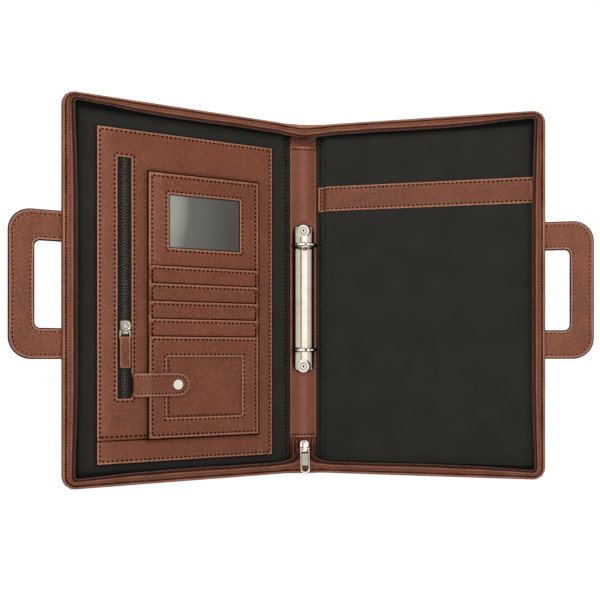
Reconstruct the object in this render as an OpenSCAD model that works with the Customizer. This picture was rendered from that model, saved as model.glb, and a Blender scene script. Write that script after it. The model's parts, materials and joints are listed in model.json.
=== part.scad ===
// Zip-around portfolio case: two padded covers folding on a spine with a two-ring binder, a sliding
// carry handle in the edge of each cover, a stitched organizer on the left and a pad pocket on the right.
// It stands open on its bottom edge. +Z is up, the spine's outer face lies on y = 0 and the inside
// faces -Y. A cover is drawn flat in (u, t, z): u out from its fold line, t in from its outer face.

/* [Case] */
// Height of the case, bottom edge to top edge
case_h = 366; // [350:1:380]
// Width of one cover, fold line to outer edge
cover_w = 224.5; // [220:0.5:240]
// Half the distance between the two fold lines
fold_x = 21; // [20.5:0.1:24]
// How far each cover is folded up from flat
fold_angle = 18.9; // [10:0.1:40]
// Radius of the outer corners of the covers
corner_r = 12.5; // [9:0.5:16]

/* [Layers] */
// Outer leather thickness
skin_t = 1; // [0.8:0.1:1.2]
// Foam layer thickness, which also holds the handle slot
pad_t = 3.4; // [3.4:0.1:4]
// Stiff board thickness
board_t = 1.2; // [1:0.1:1.5]
// Black lining thickness
lining_t = 0.6; // [0.4:0.1:0.8]
// Spine stiffener thickness
spine_board_t = 1.4; // [1:0.1:1.6]

/* [Handles] */
// Length of the handle along the cover's edge
handle_len = 136; // [120:1:150]
// How far the pulled-out handle stands out of the edge
handle_out = 46; // [40:1:50]
// Width of the grip
grip_w = 22.7; // [18:0.1:26]
// Length of the finger opening
finger_len = 79; // [70:1:90]
// Thickness of the handle
handle_t = 3.2; // [2.8:0.1:3.2]
// Height of the handle's centre above the bottom edge
handle_z = 187.8; // [170:0.1:200]

/* [Binder rings] */
// Distance between the two rings, the spacing of the top two holes of three-hole paper
ring_pitch = 108; // [100:1:115]
// Overall width of a closed ring
ring_w = 27; // [24:0.5:28]
// Thickness of the ring wire
wire_d = 3.6; // [3:0.1:4]
// Length of the domed cover plate
plate_len = 156; // [150:1:165]
// Width of the domed cover plate
plate_w = 20; // [18:0.1:22]

/* [Organizer] */
// Left and right edges of the organizer panel, from the fold line
panel_u = [15.5, 193.5];
// Bottom and top edges of the organizer panel
panel_z = [21, 337.5];
// Height of the zip slider's centre above the bottom edge
slider_z = 151; // [147:1:155]
// Height of the centre of the snap strap
strap_z = 95; // [94:0.5:96]

/* [Hidden] */

round_fn = 48;         // smoothness of every true circle
touch = 0.1;           // small gap left between pieces that lie side by side
axis_in = 1.2;         // fold axis, measured in from the outer face
cover_start = 1.6;     // skins start this far out from the fold axis
inner_start = 5;       // boards and linings start further out, to clear the spine when closed

// Faces of the cover's layers, measured in from the outer face
pad_top = skin_t + pad_t;
board_top = pad_top + board_t;
lining_top = board_top + lining_t;
layer_inset = 2.6;     // boards sit this far inside the cover's edge

// Faces of the spine's layers
spine_board_top = skin_t + spine_board_t;
strip_top = spine_board_top + 1;
strip_half = 14.1;
strip_z = [37, 343];
spine_half = fold_x - cover_start;

// Zip rim: a leather wall that leans in from the cover's edge in three steps [inset from, inset to, t from, t to]
rim_start = 14;
rim_steps = [[0, 2.5, skin_t, 7], [0.8, 6.5, 7, 9.5], [4, 10.5, 9.5, 11.5]];
tape_band = [8, 14, 11.5, 12.3];
teeth_band = [12.8, 14.6, 12.3, 13.3];
bridge_half = 8;

// Handle slot and travel
handle_gap = 0.1;
stop_w = 6;
stop_ear = 3;
arm_in = 12;
slot_depth = 64;

// Binder mechanism, centred on the spine
plate_z = case_h / 2;
plate_h = 6;
plate_wall = 0.8;
rivet_pitch = 142.6;
rivet_hole = 2.05;
ring_r = (ring_w - wire_d) / 2;
ring_t = 14.5;
pivot_x = 7.1;
pivot_t = 6.2;
pivot_r = 0.6;
pivot_knuckles = [[-42, -22], [-8, 8], [22, 42]];
blade_len = 120;
blade_tilt = 9;
ball_r = 2.3;
horn_len = 3.5;
rivet_bite_r = 7.3;
rivet_seat_r = 6.2;
plate_floor_half = 5.3;

// Organizer pieces
backing_top = lining_top + 0.5;
panel_top = backing_top + 1;
zip_u = [161, 174.5];
zip_z = [82.2, 310.8];
zip_mid = (zip_u[0] + zip_u[1]) / 2;
card_u = [31, 145];
card_z = [43, 299.5];
card_top = panel_top + 0.7;
window_u = [51.4, 125];
window_z = [227.5, 279.7];
slot_top_z = 209.9;
slot_step = 17.05;
slots_top = card_top + 0.6;
inset_u = [49.5, 127];
inset_z = [62.8, 121.8];
pocket_top_z = slot_top_z - 4 * slot_step;
strap_root_u = 160.4;
strap_tip_u = 104.7;
strap_w = 22.7;
strap_t = [9.4, 10.9];
strap_axis_t = 9.9;
snap_u = 116.8;

// Organizer slider and its pull
slider_t = panel_top + 0.4;
bail_pin_z = slider_z - 5.2;
bail_pin_t = slider_t + 1.9;
bail_half = 4.7;
bail_len = 7.3;
bail_r = 0.8;

// Main zip slider and pull
main_slider_z = [23, 34.5];
main_slider_t = [8.2, 13];
pull_pivot = [14.4, 26.6];
pull_tilt = 15;
pull_len = 25.6;
pull_w = 10.4;

leather = "#7d4b37";
lining_black = "#2d2d2a";
nickel = "#dcd2c3";
board_grey = "#8a857c";

// ---- Shared shapes ----

// Puts a shape drawn in (u, -t, z) on the right (side = 1) or left (side = -1) cover
module on_cover(side) {
    if (side > 0) fold_up() children();
    else mirror([1, 0, 0]) fold_up() children();
}

module fold_up() {
    translate([fold_x, -axis_in, 0]) rotate([0, 0, -fold_angle]) translate([0, axis_in, 0]) children();
}

// Gives a flat outline drawn in (u, z) a thickness from t0 to t1
module layer(t0, t1) {
    translate([0, -t0, 0]) rotate([90, 0, 0]) linear_extrude(t1 - t0) children();
}

module rounded_rect(u, z, r) {
    w = u[1] - u[0];
    h = z[1] - z[0];
    translate([u[0], z[0]]) {
        translate([r, 0]) square([w - 2 * r, h]);
        translate([0, r]) square([w, h - 2 * r]);
        for (x = [r, w - r], y = [r, h - r]) translate([x, y]) circle(r = r, $fn = round_fn);
    }
}

module rect(u, z) {
    translate([u[0], z[0]]) square([u[1] - u[0], z[1] - z[0]]);
}

// A cover's outline, drawn in from its edge by inset; only the outer corners are round
module cover_shape(inset, start) {
    intersection() {
        rounded_rect([-60, cover_w - inset], [inset, case_h - inset], max(corner_r - inset, 1));
        rect([start, cover_w], [0, case_h]);
    }
}

// A band round the three open edges of a cover: b = [inset from, inset to, t from, t to]
module edge_band(b) {
    layer(b[2], b[3]) difference() {
        cover_shape(b[0], rim_start);
        cover_shape(b[1], rim_start - 1);
    }
}

// A straight rod along z from z0 to z1 at (x, y)
module rod(x, y, z0, z1, r) {
    translate([x, y, z0]) cylinder(r = r, h = z1 - z0, $fn = round_fn);
}

// ---- Spine ----

module spine_skin() {
    color(leather) layer(0, skin_t) rect([-spine_half, spine_half], [0, case_h]);
}

module rivet_holes(t0, t1) {
    for (s = [-1, 1])
        translate([0, -t0 + 1, plate_z + s * rivet_pitch / 2])
            rotate([90, 0, 0]) cylinder(r = rivet_hole, h = t1 - t0 + 2, $fn = round_fn);
}

module spine_board() {
    color(board_grey) difference() {
        layer(skin_t, spine_board_top) rect([-18, 18], [4, case_h - 4]);
        rivet_holes(skin_t, spine_board_top);
    }
}

module spine_strip() {
    color(leather) difference() {
        layer(spine_board_top, strip_top) rect([-strip_half, strip_half], strip_z);
        rivet_holes(spine_board_top, strip_top);
    }
}

// Round leather fold on the fold axis, with a web back to the spine's skin
module fold_leather(side) {
    color(leather) {
        rod(side * fold_x, -axis_in, 0, case_h, axis_in);
        mirror([side < 0 ? 1 : 0, 0, 0])
            layer(0, skin_t) rect([spine_half, fold_x], [0, case_h]);
    }
}

module top_rim_bridge() {
    color(leather) for (b = concat(rim_steps, [tape_band, teeth_band]))
        layer(b[2], b[3]) rect([-bridge_half, bridge_half], [case_h - b[1], case_h - b[0]]);
}

// Tongue that the two zip tapes run up into, behind the slider
module zip_tail() {
    color(leather) layer(skin_t + spine_board_t, 8) rect([-4.2, 4.2], [6, 36.5]);
}

// ---- Binder rings ----

// Half of a rounded box profile, half-width a and height b
function dome(a, b) = [for (i = [0 : 24]) let (w = 180 * i / 24)
    [sign(cos(w)) * a * pow(abs(cos(w)), 2 / 3), b * pow(abs(sin(w)), 2 / 3)]];

// Nickel plate arched over the blades, its rounded ends forked round the two rivets
module ring_dome() {
    straight = plate_len - plate_w;
    color(nickel) {
        difference() {
            intersection() {
                translate([0, -strip_top, plate_z - plate_len / 2]) mirror([0, 1, 0]) linear_extrude(plate_len)
                    difference() {
                        polygon(dome(plate_w / 2, plate_h));
                        polygon(dome(plate_w / 2 - plate_wall, plate_h - plate_wall));
                    }
                layer(strip_top - 1, strip_top + plate_h + 1) {
                    rect([-plate_w, plate_w], [plate_z - straight / 2, plate_z + straight / 2]);
                    for (s = [-1, 1]) translate([0, plate_z + s * straight / 2])
                        circle(r = plate_w / 2 + 0.02, $fn = round_fn);
                }
            }
            for (s = [-1, 1]) translate([0, 0, plate_z + s * rivet_pitch / 2]) {
                rotate([90, 0, 0]) cylinder(r = rivet_bite_r, h = 20, $fn = round_fn);
                translate([0, -10, s * (horn_len + 5)]) cube([plate_w + 2, 20, 10], true);
            }
            for (s = [-1, 1], x = [-1, 1])
                translate([x * 8.6, -10, plate_z + s * ring_pitch / 2]) cube([8, 20, 5.4], true);
        }
        difference() {
            layer(strip_top, strip_top + plate_wall) for (s = [-1, 1]) {
                translate([0, plate_z + s * rivet_pitch / 2]) circle(r = rivet_seat_r, $fn = round_fn);
                translate([-4, plate_z + s * (rivet_pitch / 2 - 8) - 8]) square([8, 16]);
            }
            rivet_holes(strip_top, strip_top + plate_wall);
        }
        layer(strip_top, strip_top + plate_wall) {
            rect([-plate_floor_half, plate_floor_half], [plate_z - blade_len / 2, plate_z + blade_len / 2]);
            for (s = [-1, 1])
                rect([0.7 - plate_w / 2, plate_w / 2 - 0.7], [plate_z + s * 30 - 5, plate_z + s * 30 + 5]);
        }
    }
}

module ring_rivets() {
    head = strip_top + plate_wall;
    color(nickel) for (s = [-1, 1]) translate([0, 0, plate_z + s * rivet_pitch / 2]) rotate([90, 0, 0])
        difference() {
            union() {
                translate([0, 0, skin_t]) cylinder(r = rivet_hole - 0.05, h = head - skin_t, $fn = round_fn);
                translate([0, 0, head]) cylinder(r = 4.4, h = 1.1, $fn = round_fn);
                translate([0, 0, head + 0.3]) cylinder(r = 2.7, h = 1.2, $fn = round_fn);
            }
            translate([0, 0, head + 0.4]) difference() {
                cylinder(r = 3.5, h = 2, $fn = round_fn);
                translate([0, 0, -1]) cylinder(r = 2.7, h = 4, $fn = round_fn);
            }
            translate([0, 0, head - 1]) cylinder(r = 1.2, h = 4, $fn = round_fn);
        }
}

// One blade under the dome with the two half rings it carries, drawn as the left one
module half_rings() {
    turn = 270 - asin((ball_r + 0.05) / ring_r);
    start = 128;
    color(nickel) {
        translate([-pivot_x, -pivot_t, plate_z - blade_len / 2]) rotate([0, 0, blade_tilt])
            translate([0, -0.45, 0]) cube([pivot_x - 0.3, 0.9, blade_len]);
        for (k = pivot_knuckles)
            rod(-pivot_x, -pivot_t, plate_z + k[0], plate_z + k[1], pivot_r);
        for (s = [-1, 1]) translate([0, -ring_t, plate_z + s * ring_pitch / 2]) {
            rotate([0, 0, start]) rotate_extrude(angle = turn - start, $fn = 96)
                translate([ring_r, 0]) circle(d = wire_d, $fn = round_fn);
            rotate([0, 0, turn]) translate([ring_r, 0, 0]) sphere(r = ball_r, $fn = round_fn);
        }
    }
}

// ---- Main zip ----

module zip_slider() {
    t0 = main_slider_t[0];
    t1 = main_slider_t[1];
    z0 = main_slider_z[0];
    z1 = main_slider_z[1];
    color(nickel) {
        layer(t0, t1 - 1) {
            rounded_rect([-4.3, 4.3], [z0, z1], 3);
            rect([-3.4, 3.4], [z0, z0 + 4]);
        }
        difference() {
            layer(t1 - 1, pull_pivot[0] + 1.9) rect([-1.6, 1.6], [pull_pivot[1] - 1.9, z1 - 1.5]);
            translate([-3, -pull_pivot[0], pull_pivot[1]]) rotate([0, 90, 0])
                cylinder(r = 0.95, h = 6, $fn = round_fn);
        }
    }
}

// Moves a pull drawn hanging from the origin to the slider's pivot
module at_pull() {
    translate([0, -pull_pivot[0], pull_pivot[1]]) rotate([-pull_tilt, 0, 0]) children();
}

module zip_pull_frame() {
    r = 1;
    color(nickel) at_pull() {
        translate([-pull_w / 2 + r, 0, 0]) rotate([0, 90, 0])
            cylinder(r = 0.85, h = pull_w - 2 * r, $fn = round_fn);
        for (s = [-1, 1]) rod(s * (pull_w / 2 - r), 0, -pull_len + pull_w / 2, 0.85, r);
        translate([0, 0, -pull_len + pull_w / 2]) rotate([90, 0, 0]) rotate([0, 0, 180])
            rotate_extrude(angle = 180, $fn = 64) translate([pull_w / 2 - r, 0]) circle(r = r, $fn = round_fn);
    }
}

module zip_pull_insert() {
    color(nickel) at_pull() translate([0, 0.7, 0])
        layer(0, 1.4) rounded_rect([-3.1, 3.1], [-17.5, -5], 1);
}

// ---- Covers ----

module cover_skin(side) {
    color(leather) on_cover(side) layer(0, skin_t) cover_shape(0, cover_start);
}

// Foam with the pocket that the handle slides in
module cover_pad(side) {
    half = handle_len / 2 + stop_ear + 0.4;
    color("#3a3a38") on_cover(side) layer(skin_t, pad_top) difference() {
        cover_shape(layer_inset, inner_start);
        rect([cover_w - slot_depth, cover_w], [handle_z - half, handle_z + half]);
    }
}

module cover_board(side) {
    color(board_grey) on_cover(side) layer(pad_top, board_top) cover_shape(layer_inset, inner_start);
}

module lining(side) {
    color(lining_black) on_cover(side) layer(board_top, lining_top) cover_shape(layer_inset, inner_start);
}

module rim(side) {
    half = handle_len / 2 + 0.4;
    color(leather) on_cover(side) difference() {
        for (b = rim_steps) edge_band(b);
        layer(skin_t, pad_top) rect([cover_w - 5, cover_w + 1], [handle_z - half, handle_z + half]);
    }
}

module zip_tape(side) {
    color("#5a3325") on_cover(side) edge_band(tape_band);
}

module zip_teeth(side) {
    color("#6b5a50") on_cover(side) edge_band(teeth_band);
}

// The U of the handle, whose arms run into the slot in the cover's edge
module handle_grip(side) {
    t0 = skin_t + handle_gap;
    half = handle_len / 2;
    color(leather) on_cover(side) layer(t0, t0 + handle_t) difference() {
        intersection() {
            rounded_rect([cover_w - 60, cover_w + handle_out], [handle_z - half, handle_z + half], 20);
            rect([cover_w - arm_in, cover_w + handle_out], [0, case_h]);
        }
        rounded_rect([cover_w - 60, cover_w + handle_out - grip_w],
            [handle_z - finger_len / 2, handle_z + finger_len / 2], 5);
    }
}

// Bar across the ends of the arms, wider than the slot, that stops the handle from pulling out
module handle_stop(side) {
    t0 = skin_t + handle_gap;
    half = handle_len / 2 + stop_ear;
    color(board_grey) on_cover(side) layer(t0, t0 + handle_t)
        rect([cover_w - arm_in - stop_w, cover_w - arm_in], [handle_z - half, handle_z + half]);
}

// ---- Organizer, on the left cover ----

module organizer_backing() {
    color(lining_black) on_cover(-1) layer(lining_top, backing_top)
        rect([panel_u[0] + 1, panel_u[1] - 1], [panel_z[0] + 1, panel_z[1] - 1]);
}

module organizer_panel() {
    color(leather) on_cover(-1) layer(backing_top, panel_top) difference() {
        rounded_rect(panel_u, panel_z, 2);
        rect(zip_u, zip_z);
    }
}

module organizer_zip_tape() {
    color(lining_black) on_cover(-1) layer(backing_top, backing_top + 0.5)
        rect([zip_u[0] + touch, zip_u[1] - touch], [zip_z[0] + touch, zip_z[1] - touch]);
}

module organizer_zip_teeth() {
    color("#1c1a19") on_cover(-1) layer(backing_top + 0.5, panel_top + 0.3)
        rect([zip_mid - 1.3, zip_mid + 1.3], [zip_z[0] + 1, zip_z[1] - 1]);
}

module organizer_slider() {
    color(nickel) on_cover(-1) {
        layer(slider_t, slider_t + 0.9)
            rounded_rect([zip_mid - 4.6, zip_mid + 4.6], [slider_z - 7.6, slider_z + 5], 2);
        difference() {
            layer(slider_t + 0.9, slider_t + 3) rect([zip_mid - 2.2, zip_mid + 2.2], [bail_pin_z - 1.9, slider_z + 2]);
            translate([zip_mid - 4, -bail_pin_t, bail_pin_z]) rotate([0, 90, 0])
                cylinder(r = bail_r + 0.1, h = 8, $fn = round_fn);
        }
        layer(slider_t + 3, slider_t + 4.2) translate([zip_mid, slider_z]) circle(r = 5, $fn = round_fn);
    }
}

// A closed wire loop; grow widens it to cut its channel in the leather tab
module bail(grow) {
    r = bail_r + grow;
    for (z = [bail_pin_z, bail_pin_z - bail_len])
        translate([zip_mid - bail_half, -bail_pin_t, z]) rotate([0, 90, 0])
            cylinder(r = r - 0.1, h = 2 * bail_half, $fn = round_fn);
    for (s = [-1, 1])
        rod(zip_mid + s * bail_half, -bail_pin_t, bail_pin_z - bail_len - r, bail_pin_z + bail_r, r);
}

module organizer_tab_bail() {
    color(nickel) on_cover(-1) bail(0);
}

module organizer_tab() {
    top = bail_pin_z - bail_len + 2.6;
    color(leather) on_cover(-1) difference() {
        layer(bail_pin_t - 1.5, bail_pin_t + 1.5)
            rounded_rect([zip_mid - 5.3, zip_mid + 5.3], [top - 30, top], 1.2);
        bail(0.1);
    }
}

module card_panel() {
    color(leather) on_cover(-1) layer(panel_top, card_top) difference() {
        rounded_rect(card_u, card_z, 1.5);
        rect(window_u, window_z);
    }
}

module id_window() {
    color("#6e6e6a", 0.6) on_cover(-1) layer(panel_top, panel_top + 0.3)
        rect([window_u[0] + touch, window_u[1] - touch], [window_z[0] + touch, window_z[1] - touch]);
}

// Card slots are counted down from the top
module card_slot(n) {
    top = slot_top_z - (n - 1) * slot_step;
    color(leather) on_cover(-1) layer(card_top, slots_top)
        rect([card_u[0] + touch, card_u[1] - touch], [top - slot_step + touch, top]);
}

module card_pocket() {
    color(leather) on_cover(-1) layer(card_top, slots_top + 0.2) difference() {
        rect([card_u[0] + touch, card_u[1] - touch], [card_z[0] + touch, pocket_top_z]);
        rect(inset_u, inset_z);
    }
}

module card_pocket_inset() {
    color(leather) on_cover(-1) difference() {
        layer(card_top, card_top + 0.3)
            rect([inset_u[0] + touch, inset_u[1] - touch], [inset_z[0] + touch, inset_z[1] - touch]);
        snap_hole(1.9, card_top - 1, card_top + 1);
    }
}

// ---- Snap strap ----

module snap_hole(r, t0, t1) {
    translate([snap_u, -t0, strap_z]) rotate([90, 0, 0]) cylinder(r = r, h = t1 - t0, $fn = round_fn);
}

module strap_anchor() {
    color(leather) on_cover(-1) layer(panel_top, panel_top + 0.6)
        rect([strap_root_u - 6, zip_u[0] - touch], [strap_z - strap_w / 2, strap_z + strap_w / 2]);
}

module pocket_strap() {
    half = strap_w / 2;
    color(leather) on_cover(-1) difference() {
        union() {
            layer(strap_t[0], strap_t[1]) {
                rect([strap_tip_u + half, strap_root_u], [strap_z - half, strap_z + half]);
                translate([strap_tip_u + half, strap_z]) circle(r = half, $fn = round_fn);
            }
            rod(strap_root_u, -strap_axis_t, strap_z - half, strap_z + half, 1.5);
        }
        snap_hole(2.1, strap_t[0] - 1, strap_t[1] + 1);
    }
}

module snap_cap() {
    color(nickel) on_cover(-1) snap_hole(4.8, strap_t[1], strap_t[1] + 1.1);
}

module snap_socket() {
    color(nickel) on_cover(-1) difference() {
        snap_hole(4.2, slots_top - 0.2, strap_t[0]);
        snap_hole(2.1, slots_top - 2, strap_t[0] + 1);
    }
}

module snap_stud() {
    color(nickel) on_cover(-1) {
        snap_hole(1.85, card_top, strap_t[0] + 0.8);
    }
}

// ---- Pad pocket, on the right cover ----

module pad_pocket() {
    color(lining_black) on_cover(1) layer(lining_top + touch, lining_top + 0.7)
        rect([inner_start, 213], [13.5, 287]);
}

module pad_band() {
    color(leather) on_cover(1) layer(lining_top + 0.8, lining_top + 1.7)
        rect([inner_start, 212.9], [274.1, 300.5]);
}

spine_skin();
spine_board();
spine_strip();
fold_leather(-1);  // left_fold_leather
fold_leather(1);  // right_fold_leather
top_rim_bridge();
zip_tail();
ring_dome();
ring_rivets();
zip_slider();
zip_pull_frame();
zip_pull_insert();
half_rings();  // left_half_rings
mirror([1, 0, 0]) half_rings();  // right_half_rings
cover_skin(-1);  // left_cover_skin
cover_pad(-1);  // left_cover_pad
cover_board(-1);  // left_cover_board
lining(-1);  // left_lining
rim(-1);  // left_rim
zip_tape(-1);  // left_zip_tape
zip_teeth(-1);  // left_zip_teeth
handle_grip(-1);  // left_handle_grip
handle_stop(-1);  // left_handle_stop
cover_skin(1);  // right_cover_skin
cover_pad(1);  // right_cover_pad
cover_board(1);  // right_cover_board
lining(1);  // right_lining
rim(1);  // right_rim
zip_tape(1);  // right_zip_tape
zip_teeth(1);  // right_zip_teeth
handle_grip(1);  // right_handle_grip
handle_stop(1);  // right_handle_stop
organizer_backing();
organizer_panel();
organizer_zip_tape();
organizer_zip_teeth();
organizer_slider();
organizer_tab_bail();
organizer_tab();
card_panel();
id_window();
card_slot(1);  // card_slot_1
card_slot(2);  // card_slot_2
card_slot(3);  // card_slot_3
card_slot(4);  // card_slot_4
card_pocket();
card_pocket_inset();
strap_anchor();
pocket_strap();
snap_cap();
snap_socket();
snap_stud();
pad_pocket();
pad_band();
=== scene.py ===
"""Looks for a zip-around leather portfolio case that stands open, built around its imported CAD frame.

Shapes are drawn flat, as if the case lay open on a table, and then folded into place. A flat point is
(s, t, z) in millimetres: s runs along the case from the middle of the spine towards one side, t goes in
from the outer face, and z is the height above the bottom edge.
"""
import json
import math
from collections import namedtuple

import bpy
import numpy as np
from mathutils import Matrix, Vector


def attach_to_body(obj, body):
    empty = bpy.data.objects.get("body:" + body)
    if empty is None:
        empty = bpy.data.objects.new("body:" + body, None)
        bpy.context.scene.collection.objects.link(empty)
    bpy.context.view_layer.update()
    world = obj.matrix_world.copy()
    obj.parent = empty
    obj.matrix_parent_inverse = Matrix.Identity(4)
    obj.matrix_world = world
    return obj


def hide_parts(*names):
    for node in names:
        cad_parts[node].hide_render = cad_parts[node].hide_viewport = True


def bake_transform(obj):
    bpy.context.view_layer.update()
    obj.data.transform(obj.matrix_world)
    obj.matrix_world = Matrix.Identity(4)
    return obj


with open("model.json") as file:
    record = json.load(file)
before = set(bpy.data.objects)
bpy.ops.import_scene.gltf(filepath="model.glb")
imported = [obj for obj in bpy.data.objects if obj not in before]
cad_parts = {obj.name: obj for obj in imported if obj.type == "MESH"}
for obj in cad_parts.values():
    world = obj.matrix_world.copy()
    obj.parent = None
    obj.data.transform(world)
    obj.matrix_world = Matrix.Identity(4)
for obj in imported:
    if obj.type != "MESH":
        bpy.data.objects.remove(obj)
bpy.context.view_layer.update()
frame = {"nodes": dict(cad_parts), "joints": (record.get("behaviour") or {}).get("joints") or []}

# ---- Units and the fold ----

MM = 0.001
LEFT, RIGHT = -1, 1
JOINTS = {j["name"]: j for j in frame["joints"]}
FOLD_JOINT = JOINTS["right_cover_fold"]
FOLD = -math.radians(FOLD_JOINT["range_deg"][0])     # how far each cover leans in at rest
AXIS_S, AXIS_Y = (c / MM for c in FOLD_JOINT["pos_m"][:2])
SPREAD = 6.5                                         # leather bends this far either side of the fold axis
SIDE_NAME = {LEFT: "left", RIGHT: "right"}

Span = namedtuple("Span", "s0 s1 t0 t1 z0 z1")


def node_points(node):
    """A CAD node's mesh points in millimetres."""
    return np.array([v.co for v in frame["nodes"][node].data.vertices], float) / MM


def spine_span(node):
    """A spine node's extent in flat coordinates."""
    low, high = node_points(node).min(0), node_points(node).max(0)
    return Span(low[0], high[0], -high[1], -low[1], low[2], high[2])


def cover_span(node):
    """A cover node's extent in flat coordinates, with the cover unfolded."""
    p = node_points(node)
    x = np.sign(p[:, 0].mean()) * p[:, 0] - AXIS_S
    y = p[:, 1] - AXIS_Y
    s = AXIS_S + x * math.cos(FOLD) - y * math.sin(FOLD)
    t = -AXIS_Y - x * math.sin(FOLD) - y * math.cos(FOLD)
    return Span(s.min(), s.max(), t.min(), t.max(), p[:, 2].min(), p[:, 2].max())


def grown(span, by):
    """A span made larger all round in s and z. A negative amount makes it smaller."""
    return Span(span.s0 - by, span.s1 + by, span.t0, span.t1, span.z0 - by, span.z1 + by)


def smooth(x):
    """Eases from 0 to 1 as x does, flat outside."""
    x = np.clip(x, 0, 1)
    return x * x * (3 - 2 * x)


def bell(x, width):
    """1 where x is 0, and near nothing two widths away."""
    return np.exp(-(x / width) ** 2)


def place(side, s, t, z):
    """Folds flat points into the row frame at rest, still in millimetres."""
    s, t, z = np.broadcast_arrays(np.asarray(s, float), t, z)
    turn = FOLD * smooth((s - AXIS_S + SPREAD) / (2 * SPREAD))
    ds, dy = s - AXIS_S, -t - AXIS_Y
    x = AXIS_S + ds * np.cos(turn) + dy * np.sin(turn)
    y = AXIS_Y - ds * np.sin(turn) + dy * np.cos(turn)
    return np.stack([side * x, y, z], -1)


def ripple(s, z, size, seed):
    """Soft repeatable unevenness, about -1 to 1, with waves about `size` millimetres long."""
    rng = np.random.default_rng(seed)
    total = 0
    for _ in range(6):
        heading, phase = rng.uniform(0, 2 * math.pi, 2)
        k = 2 * math.pi / (size * rng.uniform(0.7, 1.7))
        total = total + np.sin(k * (s * math.cos(heading) + z * math.sin(heading)) + phase)
    return total / 3.5


# ---- Shader nodes ----

MIX_A, MIX_B, MIX_RESULT = 6, 7, 2      # a Mix node's colour sockets


def feed(tree, socket, value):
    """Links a socket to another node's output, or sets it to a plain value."""
    if isinstance(value, bpy.types.NodeSocket):
        tree.links.new(value, socket)
    else:
        socket.default_value = value


def add(tree, kind, inputs=(), **settings):
    """A new shader node with its settings made and its inputs fed."""
    node = tree.nodes.new("ShaderNode" + kind)
    for key, value in settings.items():
        setattr(node, key, value)
    for key, value in dict(inputs).items():
        feed(tree, node.inputs[key], value)
    return node


def new_material(name):
    mat = bpy.data.materials.new(name)
    mat.use_nodes = True
    return mat, mat.node_tree


def dress(mat, inputs):
    """Feeds the material's main shader and returns the material."""
    shader = next(n for n in mat.node_tree.nodes if n.type == "BSDF_PRINCIPLED")
    for key, value in inputs.items():
        feed(mat.node_tree, shader.inputs[key], value)
    return mat


def rgb(r, g, b):
    """A colour given as 0-255 screen values, as the linear RGBA that a shader takes."""
    def linear(c):
        c = c / 255
        return c / 12.92 if c <= 0.04045 else ((c + 0.055) / 1.055) ** 2.4
    return (linear(r), linear(g), linear(b), 1)


def stored(tree, name, output="Fac"):
    """A value that each mesh point stores."""
    return add(tree, "Attribute", attribute_name=name).outputs[output]


def flat_coords(tree):
    """Texture coordinates in millimetres that stick to the piece: its stored flat place."""
    return stored(tree, "flat", "Vector")


def object_coords(tree, stretch=(1, 1, 1)):
    """Texture coordinates in millimetres for a CAD node, which stores no flat place."""
    coords = add(tree, "TexCoord").outputs["Object"]
    return add(tree, "Mapping", {"Vector": coords, "Scale": [c / MM for c in stretch]}).outputs["Vector"]


def noise(tree, coords, scale, detail=3.0, roughness=0.55):
    inputs = {"Vector": coords, "Scale": scale, "Detail": detail, "Roughness": roughness}
    return add(tree, "TexNoise", inputs).outputs["Fac"]


def remap(tree, value, low, high, to_low=0.0, to_high=1.0):
    """Eases a value from one range to another."""
    inputs = {"Value": value, "From Min": low, "From Max": high, "To Min": to_low, "To Max": to_high}
    return add(tree, "MapRange", inputs, interpolation_type="SMOOTHSTEP").outputs["Result"]


def calculate(tree, operation, a, b):
    return add(tree, "Math", {0: a, 1: b}, operation=operation).outputs["Value"]


def blend_colour(tree, factor, a, b):
    return add(tree, "Mix", {0: factor, MIX_A: a, MIX_B: b}, data_type="RGBA").outputs[MIX_RESULT]


def bump(tree, height, distance, strength, below=None):
    node = add(tree, "Bump", {"Height": height, "Distance": distance * MM, "Strength": strength})
    if below is not None:
        feed(tree, node.inputs["Normal"], below)
    return node.outputs["Normal"]


def shadow(tree):
    """How much painted shade the stored wear and shading value asks for: 1 where it is -1."""
    return remap(tree, stored(tree, "wear_and_shading"), 0.0, -1.0)


# ---- Materials ----

def leather_material(name, base, patch, edge, valley_and_shade):
    """Pebbled leather: dark valleys and pale flecks, slow colour change, edges pale from wear and a painted
    highlight, and painted shade where the stored value is negative.
    """
    mat, tree = new_material(name)
    at = flat_coords(tree)
    grain = {"Vector": at, "Scale": 0.6}
    pebbles = add(tree, "TexVoronoi", {**grain, "Smoothness": 0.6}, feature="SMOOTH_F1").outputs["Distance"]
    borders = add(tree, "TexVoronoi", grain, feature="DISTANCE_TO_EDGE").outputs["Distance"]
    pore = noise(tree, at, 2.4, 4.0)
    fleck = remap(tree, noise(tree, at, 0.5, 2.0, 0.6), 0.5, 0.72)
    slow = remap(tree, noise(tree, at, 0.03, 3.0), 0.35, 0.65)
    worn_and_lit = calculate(tree, "MULTIPLY", remap(tree, stored(tree, "wear_and_shading"), 0.0, 1.0),
                     remap(tree, pore, 0.3, 0.7, 0.7, 1.0))
    shade = shadow(tree)
    valley = remap(tree, borders, 0.0, 0.22)
    colour = blend_colour(tree, slow, base, patch)
    colour = blend_colour(tree, remap(tree, valley, 0.0, 1.0, 0.36, 0.0), colour, valley_and_shade)
    colour = blend_colour(tree, remap(tree, fleck, 0.0, 1.0, 0.0, 0.15), colour, edge)
    # Pale edges: wear and a painted highlight.
    colour = blend_colour(tree, worn_and_lit, colour, edge)
    # Painted shade: the shade colour where the stored value is negative.
    colour = blend_colour(tree, shade, colour, valley_and_shade)
    relief = bump(tree, remap(tree, pebbles, 0.1, 0.75, 1.0, 0.0), 0.5, 0.9, bump(tree, pore, 0.12, 0.5))
    return dress(mat, {
        "Base Color": colour,
        "Roughness": remap(tree, pore, 0.25, 0.75, 0.28, 0.46),
        "Specular IOR Level": remap(tree, shade, 0.0, 1.0, 0.42, 0.04),
        "Normal": relief,
    })


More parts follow.
